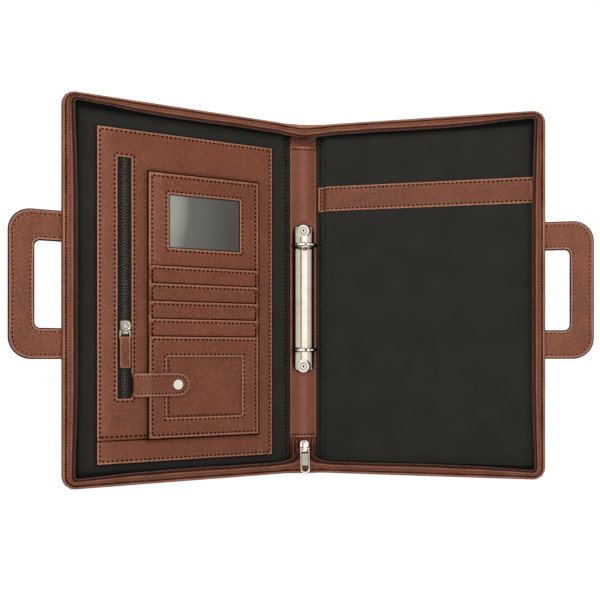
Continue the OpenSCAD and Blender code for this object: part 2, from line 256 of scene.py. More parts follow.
def woven_material(name, dark, light, pitch, ribs=0.0):
    """A plain weave: two sets of threads over each other, with ribs along the tape if asked."""
    mat, tree = new_material(name)
    at = flat_coords(tree)
    wave = {"Vector": at, "Scale": 1 / (pitch * 3.2), "Distortion": 0.4}
    warp, weft = (add(tree, "TexWave", wave, bands_direction=d).outputs["Fac"] for d in ("X", "Z"))
    weave = calculate(tree, "MULTIPLY", warp, weft)
    fuzz = noise(tree, at, 1.8, 5.0, 0.7)
    slow = noise(tree, at, 0.03, 2.0)
    mixed = calculate(tree, "MULTIPLY", remap(tree, fuzz, 0.3, 0.75, 0.35, 1.0),
                      remap(tree, slow, 0.35, 0.65, 0.55, 1.0))
    mixed = calculate(tree, "MULTIPLY", mixed, remap(tree, weave, 0, 1, 0.6, 1.0))
    colour = blend_colour(tree, mixed, dark, light)
    return dress(mat, {
        # Painted shade where the stored value is negative.
        "Base Color": blend_colour(tree, shadow(tree), colour, rgb(6, 5, 4)),
        "Roughness": 0.85,
        "Specular IOR Level": 0.2,
        "Sheen Weight": 0.12,
        "Sheen Roughness": 0.5,
        "Normal": bump(tree, weave, 0.15 + ribs, 0.5, bump(tree, fuzz, 0.1, 0.35)),
    })


def thread_material(name, dark, light):
    mat, tree = new_material(name)
    fibre = noise(tree, flat_coords(tree), 3.0, 3.0)
    return dress(mat, {
        "Base Color": blend_colour(tree, fibre, dark, light),
        "Roughness": 0.75,
        "Specular IOR Level": 0.03,
        "Normal": bump(tree, fibre, 0.08, 0.6),
    })


def nylon_material(name, dark, light):
    """Moulded nylon coil: slightly glossy, with small tone changes from tooth to tooth."""
    mat, tree = new_material(name)
    at = flat_coords(tree)
    tone = noise(tree, at, 0.45, 2.0)
    return dress(mat, {
        "Base Color": blend_colour(tree, remap(tree, tone, 0.3, 0.7), dark, light),
        "Roughness": remap(tree, tone, 0.3, 0.7, 0.3, 0.5),
        "Normal": bump(tree, noise(tree, at, 3.0), 0.05, 0.3),
    })


def metal_material(name, colour, tarnish, low, high, brushed=(1, 1, 1)):
    """Nickel plate: bright, with faint cloudy tarnish, fine polishing marks, and painted shade on its steep
    sides and in its recesses.
    """
    mat, tree = new_material(name)
    marks = noise(tree, object_coords(tree, brushed), 1.6, 5.0, 0.7)
    cloud = noise(tree, object_coords(tree), 0.09, 4.0)
    # Painted shade: darker where the surface turns away from the view and in recesses.
    side = remap(tree, add(tree, "LayerWeight").outputs["Facing"], 0.24, 0.5)
    open_air = add(tree, "AmbientOcclusion", {"Distance": 1.6 * MM}, samples=6).outputs["AO"]
    dark = calculate(tree, "MAXIMUM", side, remap(tree, open_air, 0.45, 0.98, 1.0, 0.0))
    plate = blend_colour(tree, remap(tree, cloud, 0.45, 0.75, 0.0, 0.5), colour, tarnish)
    return dress(mat, {
        "Base Color": blend_colour(tree, dark, plate, rgb(34, 24, 18)),
        "Metallic": 1.0,
        "Roughness": remap(tree, marks, 0.3, 0.7, low, high),
        "Normal": bump(tree, marks, 0.01, 0.1),
    })


def vinyl_material(name):
    """The ID window: clear vinyl over a dark backing, with a painted reflection that makes it paler towards
    its outer side, and soft waves.
    """
    mat, tree = new_material(name)
    at = flat_coords(tree)
    window = cover_span("id_window")
    along = add(tree, "SeparateXYZ", {"Vector": at}).outputs["X"]
    wobble = remap(tree, noise(tree, at, 0.02, 1.0), 0.3, 0.7, -0.04, 0.04)
    # Painted reflection: a grey ramp across the window, palest at its outer side.
    across = calculate(tree, "ADD", remap(tree, along, window.s0, window.s1), wobble)
    ramp = add(tree, "ValToRGB", {"Fac": across})
    ramp.color_ramp.elements[0].color = rgb(84, 82, 77)
    ramp.color_ramp.elements[1].color = rgb(168, 167, 158)
    for stop, grey in ((0.5, 106), (0.84, 114)):
        ramp.color_ramp.elements.new(stop).color = rgb(grey, grey - 2, grey - 6)
    return dress(mat, {
        # Painted shade along the window's edges, where the stored value is negative.
        "Base Color": blend_colour(tree, shadow(tree), ramp.outputs["Color"], rgb(16, 10, 8)),
        "Roughness": 0.3,
        "Specular IOR Level": 0.12,
        "Normal": bump(tree, noise(tree, at, 0.05, 2.0), 0.6, 0.25),
    })


def board_material(name, dark, light, size):
    """Pressed board or foam, seen only inside slots and pockets."""
    mat, tree = new_material(name)
    grain = noise(tree, object_coords(tree), size, 6.0, 0.7)
    return dress(mat, {
        "Base Color": blend_colour(tree, grain, dark, light),
        "Roughness": 0.9,
        "Normal": bump(tree, grain, 0.2, 0.5),
    })


LEATHER = leather_material("leather", rgb(138, 71, 41), rgb(127, 63, 35), rgb(208, 146, 118), rgb(40, 8, 2))
GRIP_LEATHER = leather_material("grip_leather", rgb(150, 84, 54), rgb(134, 72, 44), rgb(208, 152, 126),
                                rgb(42, 10, 3))
THREAD = thread_material("stitch_thread", rgb(34, 5, 2), rgb(58, 14, 7))
BLACK_THREAD = thread_material("black_thread", rgb(8, 8, 8), rgb(22, 22, 20))
LINING = woven_material("lining_weave", rgb(32, 31, 27), rgb(55, 54, 49), 0.7)
BROWN_TAPE = woven_material("brown_tape", rgb(44, 18, 10), rgb(92, 44, 28), 0.6, ribs=0.1)
BROWN_COIL = nylon_material("brown_coil", rgb(38, 16, 10), rgb(112, 76, 56))
BLACK_TAPE = woven_material("black_tape", rgb(20, 20, 19), rgb(40, 40, 38), 0.6, ribs=0.1)
BLACK_COIL = nylon_material("black_coil", rgb(62, 55, 48), rgb(122, 110, 96))
SATIN = metal_material("satin_nickel", rgb(228, 222, 212), rgb(200, 192, 180), 0.2, 0.34)
NICKEL = metal_material("nickel", rgb(240, 232, 220), rgb(214, 200, 182), 0.06, 0.15)
BRUSHED = metal_material("brushed_nickel", rgb(196, 190, 180), rgb(160, 152, 140), 0.25, 0.45, (6, 6, 0.6))
VINYL = vinyl_material("clear_vinyl")
BOARD = board_material("grey_board", rgb(84, 80, 74), rgb(114, 109, 101), 0.6)
FOAM = board_material("dark_foam", rgb(22, 21, 20), rgb(48, 46, 43), 1.4)


# ---- Meshes ----

SHARP = math.radians(55)                    # edges steeper than this are shaded sharp
NEAR_EDGE = (0.0, 0.06, 0.22, 0.5, 0.9, 1.5)
NEAR_SEAM = (-1.0, -0.5, 0.0, 0.5, 1.0)


def new_object(name, data):
    obj = bpy.data.objects.new(name, data)
    bpy.context.scene.collection.objects.link(obj)
    return obj


def make_piece(name, verts, faces, material, flat, wear_and_shading=None):
    """A mesh object from millimetre points, with each point's flat place stored on it, and its edge wear and
    painted light and shade.
    """
    mesh = bpy.data.meshes.new(name)
    mesh.from_pydata((np.asarray(verts) * MM).tolist(), [], faces)
    mesh.polygons.foreach_set("use_smooth", [True] * len(mesh.polygons))
    mesh.set_sharp_from_angle(angle=SHARP)
    places = mesh.attributes.new("flat", "FLOAT_VECTOR", "POINT")
    places.data.foreach_set("vector", np.asarray(flat, np.float32).ravel())
    worn_and_lit = mesh.attributes.new("wear_and_shading", "FLOAT", "POINT")
    worn_and_lit.data.foreach_set("value", np.asarray(np.zeros(len(verts)) if wear_and_shading is None else wear_and_shading, np.float32))
    mesh.materials.append(material)
    return new_object(name, mesh)


def attach(obj, side, body, replaces=()):
    """Rides a body, or keeps its placed shape when body is None, and hides the CAD parts that it replaces."""
    if body:
        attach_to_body(obj, body)
    else:
        start, end = (Vector(place(side, AXIS_S + k * SPREAD, -AXIS_Y, 0) * MM) for k in (-1, 1))
        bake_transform(obj)
    if replaces:
        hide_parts(*replaces)


def grid_lines(low, high, edges=(), seams=(), step=7.0):
    """Grid lines from low to high: close together at both ends, at inner edges and at seams."""
    fixed = [low + d for d in NEAR_EDGE] + [high - d for d in NEAR_EDGE]
    fixed += [e + k * d for e in edges for d in NEAR_EDGE for k in (-1, 1)]
    fixed += [m + d for m in seams for d in NEAR_SEAM]
    kept = [low]
    for f in sorted(f for f in fixed if low <= f <= high)[1:]:
        if f - kept[-1] > 0.04:
            kept.append(f)
    kept[-1] = high
    out = [low]
    for a, b in zip(kept, kept[1:]):
        n = max(1, math.ceil((b - a) / step))
        out += [a + (b - a) * (i + 1) / n for i in range(n)]
    return np.array(out)


def depth_in(span, s, z, corner=0.0):
    """How far flat points lie inside a rounded rectangle's border. Negative outside."""
    qs = np.abs(s - (span.s0 + span.s1) / 2) - (span.s1 - span.s0) / 2 + corner
    qz = np.abs(z - (span.z0 + span.z1) / 2) - (span.z1 - span.z0) / 2 + corner
    return corner - np.hypot(np.maximum(qs, 0), np.maximum(qz, 0)) - np.minimum(np.maximum(qs, qz), 0)


def round_corners(span, s, z, corner):
    """Slides the points in a rectangular grid's corners so that its outline turns on an arc."""
    cs, cz = (span.s0 + span.s1) / 2, (span.z0 + span.z1) / 2
    hs, hz = (span.s1 - span.s0) / 2 - corner, (span.z1 - span.z0) / 2 - corner
    a, b = np.abs(s - cs) - hs, np.abs(z - cz) - hz
    both = (a > 0) & (b > 0)
    k = np.where(both, np.maximum(a, b) / np.maximum(np.hypot(a, b), 1e-9), 1)
    new_s = np.where(both, cs + np.sign(s - cs) * (hs + a * k), s)
    new_z = np.where(both, cz + np.sign(z - cz) * (hz + b * k), z)
    return new_s, new_z


def turned_edge(depth, base, top, seam=None, roll=0.9, lip=0.3):
    """Height of leather `depth` in from a turned edge: a round roll, a full lip, and a dip at its seam."""
    out = math.copysign(1, top - base)
    k = np.clip(1 - depth / roll, 0, 1)
    t = base + (top - base) * np.sqrt(1 - k * k)
    if seam:
        t = t + out * lip * np.sin(math.pi * np.clip(depth / seam, 0, 1))
        t = t - out * 0.2 * bell(depth - seam, 0.55)
    return t


def edge_wear_and_shading(depth, seam=None, width=1.7):
    """Pale along a turned edge, from wear and a painted highlight; a painted highlight where its seam pulls
    the leather up; painted shade in the crack under the edge.
    """
    wear_and_shading = 0.6 * (1 - smooth((depth - width * 0.6) / width))
    wear_and_shading = np.where(depth < 0.35, -0.9, wear_and_shading)
    if seam:
        wear_and_shading = wear_and_shading + 0.38 * bell(depth - seam, 0.9)
    return wear_and_shading


def painted_edge_shade(depth, reach=1.3, strength=1.0):
    """Painted shade on a surface just outside the edge of a piece that lies on it."""
    return -strength * bell(np.minimum(depth, 0), reach)


def edge_rows(index, cell):
    """The grid's edges in four sets: (first points, second points, cell on the far side)."""
    padded = np.pad(cell, 1)
    return (
        (index[:-1, :-1], index[1:, :-1], padded[1:-1, :-2]),
        (index[1:, :-1], index[1:, 1:], padded[2:, 1:-1]),
        (index[1:, 1:], index[:-1, 1:], padded[1:-1, 2:]),
        (index[:-1, 1:], index[:-1, :-1], padded[:-2, 1:-1]),
    )


def grid_slab(name, side, s_lines, z_lines, surface, material, keep=None, warp=None, outward=False):
    """A closed slab over a flat grid. surface(s, z) gives its top, its base, and its wear with painted light
    and shade.
    """
    s, z = np.meshgrid(s_lines, z_lines, indexing="ij")
    if warp:
        s, z = warp(s, z)
    top, base, wear_and_shading = (np.broadcast_to(v, s.shape) for v in surface(s, z))
    n, m = s.shape
    cell = np.ones((n - 1, m - 1), bool)
    if keep:
        cell = keep((s[:-1, :-1] + s[1:, 1:]) / 2, (z[:-1, :-1] + z[1:, 1:]) / 2)
    index = np.arange(n * m).reshape(n, m)
    below = n * m
    tops = np.stack([q[cell] for q in (index[:-1, :-1], index[1:, :-1], index[1:, 1:], index[:-1, 1:])], 1)
    walls = []
    for first, second, outside in edge_rows(index, cell):
        rim = cell & ~outside
        walls.append(np.stack([second[rim], first[rim], first[rim] + below, second[rim] + below], 1))
    faces = np.concatenate([tops, tops[:, ::-1] + below] + walls)
    if (side < 0) != outward:
        faces = faces[:, ::-1]
    flat = np.concatenate([np.stack([s, t, z], -1).reshape(-1, 3) for t in (top, base)])
    worn_and_lit = np.concatenate([wear_and_shading.ravel(), np.minimum(wear_and_shading, 0).ravel()])
    used = np.unique(faces)
    number = np.full(len(flat), -1)
    number[used] = np.arange(len(used))
    faces, flat, worn_and_lit = number[faces].tolist(), flat[used], worn_and_lit[used]
    return make_piece(name, place(side, *flat.T), faces, material, flat, worn_and_lit)


def slab(name, side, span, surface, material, step, z_step=None, seams=((), ()), edges=((), ()), **shape):
    """A closed slab over a rectangle. Its seams and edges are given as s places, then z places."""
    s_lines = grid_lines(span.s0, span.s1, edges[0], seams[0], step)
    z_lines = grid_lines(span.z0, span.z1, edges[1], seams[1], z_step or step)
    return grid_slab(name, side, s_lines, z_lines, surface, material, **shape)


# ---- Stitches ----

STITCH_PITCH = 4.4
CAPSULE_SIDES = 6
# A stitch's rings: (place along it, radius, drop), as shares of its length and radius
CAPSULE = ((-0.5, 0.25, -0.3), (-0.34, 0.8, -0.08), (0.0, 1.0, 0.0), (0.34, 0.8, -0.08), (0.5, 0.25, -0.3))


def unit(v):
    return v / np.maximum(np.linalg.norm(v, axis=-1, keepdims=True), 1e-9)


def spaced(points, pitch, closed):
    """Evenly spaced middles along a flat polyline, and the direction at each."""
    points = np.asarray(points, float)
    if closed:
        points = np.concatenate([points, points[:1]])
    run = np.concatenate([[0], np.cumsum(np.linalg.norm(np.diff(points, axis=0), axis=1))])
    count = max(1, round(run[-1] / pitch))
    middle = (np.arange(count) + 0.5) * run[-1] / count

    def at(distance):
        return np.stack([np.interp(distance, run, column) for column in points.T], 1)

    return at(middle), unit(at(middle + 0.4) - at(middle - 0.4))


def loop_path(span, inset, corner=0.0):
    """The closed flat path that runs `inset` inside a rounded rectangle."""
    r = max(corner - inset, 0.01)
    s0, s1, z0, z1 = span.s0 + inset, span.s1 - inset, span.z0 + inset, span.z1 - inset
    path = []
    corners = ((s1 - r, z1 - r), (s0 + r, z1 - r), (s0 + r, z0 + r), (s1 - r, z0 + r))
    for (cs, cz), start in zip(corners, (0, 90, 180, 270)):
        for a in np.radians(np.linspace(start, start + 90, 9 if r > 0.5 else 1)):
            path.append((cs + r * math.cos(a), cz + r * math.sin(a)))
    return path


def lay_stitches(side, paths, height, out=1, closed=False, pitch=STITCH_PITCH):
    """Stitches along flat paths on a surface: rows of (middle, direction, normal, flat place)."""
    rows = []
    for path in paths:
        middle, heading = spaced(path, pitch, closed)
        s, z = middle.T
        t = height(s, z)
        here = place(side, s, t, z)
        there = place(side, s + heading[:, 0], height(s + 0.01, z), z + heading[:, 1])
        rows.append((here, there - here, place(side, s, t + out, z) - here, np.stack([s, t, z], 1)))
    return rows


def zigzag(side, middle, t, z, offset):
    """A row of meshed coil teeth, which lie across the zip a little left and right of its middle in turn."""
    s = middle + np.where(np.arange(len(z)) % 2, offset, -offset)
    t = np.full(len(z), t)
    here = place(side, s, t, z)
    return (here, place(side, s + 1, t, z) - here, place(side, s, t + 1, z) - here, np.stack([s, t, z], 1))


def capsule_faces():
    """The faces of one stitch: bands between its rings, and two ends."""
    n, last = CAPSULE_SIDES, len(CAPSULE) - 1
    faces = []
    for ring in range(last):
        for k in range(n):
            a, b = ring * n + k, ring * n + (k + 1) % n
            faces.append([a + n, b + n, b, a])
    return faces + [list(range(n)), list(range(last * n, last * n + n))[::-1]]


def stitch_piece(name, rows, material=THREAD, length=3.0, radius=0.9, lift=0.12):
    """One mesh of small thread capsules, or coil teeth, whose ends dive into the surface."""
    here, along, up, flat = (np.concatenate([row[k] for row in rows]) for k in range(4))
    along, up = unit(along), unit(up)
    across = np.cross(along, up)
    rings = []
    for x, r, drop in CAPSULE:
        for a in np.arange(CAPSULE_SIDES) * 2 * math.pi / CAPSULE_SIDES:
            rings.append(here + along * x * length + across * (math.cos(a) * r * radius)
                         + up * (math.sin(a) * r * radius + lift + drop * radius))
    verts = np.stack(rings, 1)
    count, per = verts.shape[:2]
    faces = [[v + k * per for v in face] for k in range(count) for face in capsule_faces()]
    places = np.repeat(flat, per, 0) + (verts - here[:, None]).reshape(-1, 3)
    return make_piece(name, verts.reshape(-1, 3), faces, material, places)


def sew(name, side, body, rows, slot="leather", replaces=(), material=THREAD, **size):
    """A stitch piece that moves with the piece it is sewn to."""
    attach(stitch_piece(name, rows, material, **size), side, body, replaces)


# ---- Flat leather panels ----

def panel(name, side, span, top, base, seam=None, holes=(), hole_seam=None, relief=None, step=6, lip=0.3,
          worn_and_lit=1.0, painted_shading=None, lines=((), ()), outward=False):
    """A leather panel with turned edges and optional openings. Returns the object and its height function.

    relief adds to its height, the shading function adds painted highlight and shade to its wear, and lines
    are extra s places and z places for its grid."""
    framed = ([grown(span, -seam)] if seam else []) + [grown(h, hole_seam) for h in holes]
    seams = [v for f in framed for v in (f.s0, f.s1)], [v for f in framed for v in (f.z0, f.z1)]
    edges = [v for h in holes for v in (h.s0, h.s1)], [v for h in holes for v in (h.z0, h.z1)]
    edges = [inner + list(extra) for inner, extra in zip(edges, lines)]

    def height(s, z):
        t = turned_edge(depth_in(span, s, z), base, top, seam, lip=lip)
        for h in holes:
            out = -depth_in(h, s, z)
            t = np.where(out < hole_seam + 2.5, turned_edge(out, base, top, hole_seam, lip=lip), t)
        return t + (relief(s, z) if relief else 0)

    def surface(s, z):
        wear_and_shading = edge_wear_and_shading(depth_in(span, s, z), seam)
        for h in holes:
            wear_and_shading = wear_and_shading + edge_wear_and_shading(-depth_in(h, s, z), hole_seam)
        return height(s, z), base, wear_and_shading * worn_and_lit + (painted_shading(s, z) if painted_shading else 0)

    def keep(s, z):
        return np.all([depth_in(h, s, z) < 0 for h in holes], axis=0)

    obj = slab(name, side, span, surface, LEATHER, step, seams=seams, edges=edges,
               keep=keep if holes else None, outward=outward)
    return obj, height


# ---- Covers: outer skin and lining ----

EDGE = cover_span("left_cover_skin")
LINING_SPAN = cover_span("left_lining")
STRIP = spine_span("spine_strip")
ORGANIZER = cover_span("organizer_panel")
CASE_H = EDGE.z1
CASE = Span(-EDGE.s1, EDGE.s1, 0, 0, 0, CASE_H)     # the outline of the whole case, laid flat
CORNER = 12.5                   # radius of the case's outer corners
SPINE_PANEL_HALF = 16.5         # the outer spine panel laps this far over the covers' skins
OUTER_SEAM = 5.5
SPINE_SEAM = 2.6
SKIN_PUFF = 2.2                 # how far the padding swells the outer skin


def from_edge(s, z):
    """Distance in from the case's outline, with the spine counted as inside."""
    return depth_in(CASE, s, z, CORNER)


def puff(s, z):
    """Swell of the padded outer skin, nothing at its seams."""
    inner = Span(AXIS_S + 8, EDGE.s1 - OUTER_SEAM, 0, 0, OUTER_SEAM, CASE_H - OUTER_SEAM)
    depth = np.maximum(depth_in(inner, s, z, CORNER - OUTER_SEAM), 0)
    soft = 1 - np.exp(-depth / 16)
    return SKIN_PUFF * soft + 0.18 * soft * ripple(s, z, 60, 11)


def outer_skin(side):
    """The padded outer leather of one cover, which runs under the spine panel and bends at the fold."""
    name = SIDE_NAME[side]
    span = Span(SPINE_PANEL_HALF - 4, EDGE.s1, 0, 0, 0, CASE_H)

    def height(s, z):
        free = from_edge(s, z)
        t = turned_edge(free, 1.0, 0.0, OUTER_SEAM, roll=1.8, lip=0.15)
        tucked = 1 - smooth((s - SPINE_PANEL_HALF + 1) / 2.5)
        return t - puff(s, z) + 0.85 * tucked * (free > 1.0)

    def surface(s, z):
        return height(s, z), 1.02, edge_wear_and_shading(from_edge(s, z), OUTER_SEAM, 1.2) * 0.6

    s_marks = [EDGE.s1 - OUTER_SEAM, AXIS_S, EDGE.s1 - CORNER, EDGE.s1 - CORNER * 0.5]
    z_marks = [v for d in (OUTER_SEAM, CORNER * 0.5, CORNER) for v in (d, CASE_H - d)]
    obj = slab(f"{name}_outer_skin", side, span, surface, LEATHER, 6, seams=(s_marks, z_marks),
               warp=lambda s, z: round_corners(CASE, s, z, CORNER), outward=True)
    attach(obj, side, None, [f"{name}_cover_skin", f"{name}_fold_leather"])
    loop = [p for p in loop_path(CASE, OUTER_SEAM, CORNER) if p[0] > 0]
    loop = sorted(loop, key=lambda p: math.atan2(p[1] - CASE_H / 2, p[0] - 60))
    start, fold_seam = SPINE_PANEL_HALF + 1, AXIS_S + 7.5
    seams = [[(start, OUTER_SEAM)] + loop + [(start, CASE_H - OUTER_SEAM)],
             [(fold_seam, 8), (fold_seam, CASE_H - 8)]]
    sew(f"{name}_outer_stitches", side, None, lay_stitches(side, seams, height, out=-1))


def spine_panel():
    """The outer spine: a rounded leather panel stitched over both covers' skins."""
    span = Span(-SPINE_PANEL_HALF, SPINE_PANEL_HALF, 0, 1, 0.6, CASE_H - 0.6)

    def crown(s, z):
        return -0.9 * np.clip(1 - (s / SPINE_PANEL_HALF) ** 2, 0, 1) + 0.05 * ripple(s, z, 40, 5)

    obj, height = panel("outer_spine_panel", RIGHT, span, 0.0, 1.0, seam=SPINE_SEAM, relief=crown, step=5,
                        outward=True, worn_and_lit=0.6)
    attach(obj, RIGHT, "spine", ["spine_skin"])
    seam = SPINE_PANEL_HALF - SPINE_SEAM
    rows = lay_stitches(RIGHT, [[(s, 3), (s, CASE_H - 3)] for s in (-seam, seam)], height, out=-1)
    sew("outer_spine_stitches", RIGHT, "spine", rows)


def lining_height(s, z):
    """Inner face of the lining: low over the spine, then up onto the cover's board."""
    low = STRIP.t0 + 0.7
    return low + (LINING_SPAN.t1 - low) * smooth((s - AXIS_S - 0.2) / 4.6)


def lining_panel(side):
    """Black woven lining from beside the spine strip, over the fold, to the rim."""
    name = SIDE_NAME[side]
    span = Span(STRIP.s1 + 0.3, LINING_SPAN.s1, 0, 0, LINING_SPAN.z0 + 1, LINING_SPAN.z1 - 1)
    seed = 21 if side < 0 else 22
    seam = STRIP.s1 + 4.0

    def height(s, z):
        slack = 0.16 * smooth((s - AXIS_S - 9) / 8) * (1 - smooth((s - span.s1 + 24) / 20))
        return lining_height(s, z) - 0.06 + slack * (ripple(s, z, 70, seed) - 1)

    def surface(s, z):
        edge = np.clip(s - span.s0, 0, 9)
        t = height(s, z) - 0.3 * np.exp(-edge / 0.4) - 0.15 * bell(s - seam, 0.9)
        # Painted shadow under the rim and round the organizer, and painted shade beside the spine strip.
        under_rim = -0.85 * bell(np.maximum(from_edge(s, z) - 12.5, 0), 2.6)
        painted_shading = under_rim + (painted_edge_shade(depth_in(ORGANIZER, s, z)) if side < 0 else 0)
        return t, height(s, z) - 0.55, np.maximum(painted_shading - 0.8 * np.exp(-edge / 0.8), -1)

    edges = (ORGANIZER.s0, ORGANIZER.s1, EDGE.s1 - 14), (ORGANIZER.z0, ORGANIZER.z1, 14, CASE_H - 14)
    obj = slab(f"{name}_lining_cloth", side, span, surface, LINING, 8, edges=edges,
               seams=([seam, AXIS_S + 0.5, AXIS_S + 2.5, AXIS_S + 4.5], ()))
    attach(obj, side, None, [f"{name}_lining"])
    rows = lay_stitches(side, [[(seam, 10), (seam, CASE_H - 10)]], lambda s, z: height(s, z) - 0.1)
    sew(f"{name}_lining_stitches", side, "spine", rows, "lining", material=BLACK_THREAD)


# ---- Rim: leather wall, zip tape and coil ----

GRIP = cover_span("left_handle_grip")
TOP_SAG = 3.5                   # how far the top rim dips over the spine
SLOT_T = GRIP.t1 + 0.5          # top of the slot that the handle slides through

# Sections, all the way round: (in from the case's edge, in from the outer face, wear and painted shading).
# Negative values are painted shade under the wall's overhang and under the tape; positive values are pale
# rolls, from wear and a painted highlight.
WALL = (
    (1.4, 0.75, -0.2), (0.25, 1.0, 0.0), (-0.15, 2.2, 0.0), (-0.25, 3.6, 0.0), (-0.2, 5.0, 0.0),
    (-0.05, 6.4, -0.5), (0.3, 7.5, -0.3), (0.9, 8.3, 0.4), (1.6, 8.6, 0.6), (2.3, 8.5, 0.5),
    (2.8, 8.2, 0.35), (3.2, 7.9, 0.3), (3.7, 8.2, 0.3), (4.4, 9.0, 0.2), (5.3, 9.85, 0.2),
    (6.3, 10.5, -0.1), (6.9, 10.75, -0.5), (7.5, 11.1, 0.0), (8.3, 11.4, 0.35), (9.0, 11.5, 0.3),
    (9.5, 11.3, -0.2), (9.8, 10.9, -0.9), (9.4, 10.4, -1.0), (8.0, 9.6, -0.9), (6.2, 8.5, -0.7),
    (4.6, 7.1, -0.5), (3.2, 6.3, -0.5), (2.6, 4.8, -0.5), (2.55, 2.8, -0.5), (2.6, 1.3, -0.5),
)
TAPE_SECTION = (
    (7.4, 10.3, -0.6), (8.8, 10.7, -0.6), (10.0, 11.1, -0.3), (10.8, 11.35, 0.0), (12.0, 11.6, 0.0),
    (13.0, 11.65, -0.2), (13.15, 11.45, -0.4), (13.0, 11.25, -0.5), (12.0, 11.15, -0.5), (10.0, 10.6, -0.6),
    (8.8, 10.2, -0.6), (7.4, 9.8, -0.6),
)
RIM_SEAM = (3.2, 8.1)           # the seam's place on the wall section
COIL_PLACE = (12.4, 11.85)
TOP_STEPS, ARC_STEPS, SIDE_STEPS = 58, 12, 64


def rim_path(inset):
    """Flat path `inset` inside the case's edge: along the top from the spine, down the side, back along the
    bottom. The same step numbers line up at every inset."""
    r = max(CORNER - inset, 1.6)
    far = EDGE.s1 - inset
    run = (far - r) * np.linspace(0, 1, TOP_STEPS) ** 1.35
    arc = np.radians(np.linspace(90, 0, ARC_STEPS))[1:-1]
    top = np.stack([run, np.full(TOP_STEPS, CASE_H - inset)], 1)
    turn = np.stack([far - r + r * np.cos(arc), CASE_H - inset - r + r * np.sin(arc)], 1)
    down = np.stack([np.full(SIDE_STEPS, far), np.linspace(CASE_H - inset - r, inset + r, SIDE_STEPS)], 1)
    low_turn, back = (part[::-1] * [1, -1] + [0, CASE_H] for part in (turn, top))
    return np.concatenate([top, turn, down, low_turn, back])


def slim_path(inset):
    """The rim's path, drawn in tighter round the corners, where the leather is stretched."""
    path = rim_path(inset)
    if inset <= 2:
        return path
    outer = rim_path(2.0)
    from_side, from_end = EDGE.s1 - outer[:, 0], np.minimum(outer[:, 1], CASE_H - outer[:, 1])
    along_end = smooth(from_side / (from_side + from_end))
    slimmest = 0.78 - np.where(outer[:, 1] > CASE_H / 2, 0.2, 0.06) * along_end
    share = slimmest + (1 - slimmest) * smooth(np.maximum(from_side, from_end) / 95)
    return outer + (path - outer) * share[:, None]


def rim_point(inset, t, path):
    """Flat (s, t, z) along the path for one place on the section, with the sag, gather and slot put in."""
    s, z = path[:, 0], path[:, 1]
    upper, lower = z > CASE_H / 2, z < CASE_H / 2
    sag = TOP_SAG * bell(s, 15.0) * np.clip(inset / 4, 0.3, 1)
    gather = 23 * np.exp(-np.maximum(s - 4.8, 0) / 5.5) * np.clip((inset - 3) / 11.5, 0, 1.05) ** 2.2
    z = z - upper * sag + lower * gather
    z = z + 0.25 * ripple(s, z, 55, 31) * np.clip(inset / 8, 0, 1) * smooth(s / 12)
    low_fold = 1 - 0.16 * bell(s - AXIS_S, 11.0)
    t = np.where(t > 4, 4 + (t - 4) * low_fold, t)
    t = t - lower * smooth((t - 6) / 5) * 1.6 * bell(s, 6.0)
    slot_half, middle = (GRIP.z1 - GRIP.z0) / 2 + 1.2, (GRIP.z1 + GRIP.z0) / 2
    opened = (1 - smooth((np.abs(z - middle) - slot_half) / 3)) * (s > EDGE.s1 - 20)
    t = np.where(t < SLOT_T, t + opened * (SLOT_T + 0.25 * t / SLOT_T - t), t)
    return np.stack([s, t, np.maximum(z, 0)], 1)


def loft(rings):
    """Faces over a tube of points, given as (place round the tube, place along it), with closed ends."""
    n, m = rings.shape[:2]
    faces = []
    for k in range(n):
        a, b = k * m, ((k + 1) % n) * m
        faces += [[a + i, b + i, b + i + 1, a + i + 1] for i in range(m - 1)]
    return faces + [[k * m for k in range(n)][::-1], [k * m + m - 1 for k in range(n)]]


def sweep_rim(name, side, section, material, trim=0.0):
    """Sweeps a closed section along the rim. trim shortens the bottom end, to stop beside the slider."""
    rows = []
    for inset, t, _ in section:
        path = slim_path(inset)
        stop = len(path) - (int(np.sum(path[-TOP_STEPS:, 0] < trim)) if trim else 0)
        rows.append(rim_point(inset, t, path[:stop]))
    shortest = min(len(r) for r in rows)
    flat = np.stack([r[:shortest] for r in rows])
    faces = loft(flat)
    if side > 0:
        faces = [f[::-1] for f in faces]
    points = flat.reshape(-1, 3)
    wear_and_shading = np.repeat([w for _, _, w in section], shortest)
    wear_and_shading = wear_and_shading + 0.15 * ripple(points[:, 0], points[:, 2], 25, 3) * (wear_and_shading > 0)
    # Painted shade on the inside of the wall near the top corner.
    to_corner = np.hypot(EDGE.s1 - points[:, 0], CASE_H - points[:, 2])
    wear_and_shading = wear_and_shading - 0.55 * bell(to_corner, 42) * (points[:, 1] > 9.2) * (EDGE.s1 - points[:, 0] > 6)
    return make_piece(name, place(side, *points.T), faces, material, points, wear_and_shading)


def rim_rows(side, inset, t, pitch, lean, trim=0.0):
    """Places along the rim for stitches or teeth. lean 1 lies along the path and 0 across it."""
    path = rim_point(inset, t, slim_path(inset))
    inner = rim_point(inset + 1, t + 0.3, slim_path(inset + 1))
    path, inner = (p[p[:, 0] >= trim] if trim else p for p in (path, inner))
    count = min(len(path), len(inner))
    middle, heading = spaced(np.concatenate([path[:count], inner[:count]], 1), pitch, False)
    outer_end, inner_end = middle[:, :3], middle[:, 3:]
    here = place(side, *outer_end.T)
    step = unit(place(side, *(outer_end + heading[:, :3]).T) - here)
    across = unit(place(side, *inner_end.T) - here)
    return (here, step * lean + across * (1 - lean), np.cross(step, across) * -side, outer_end)


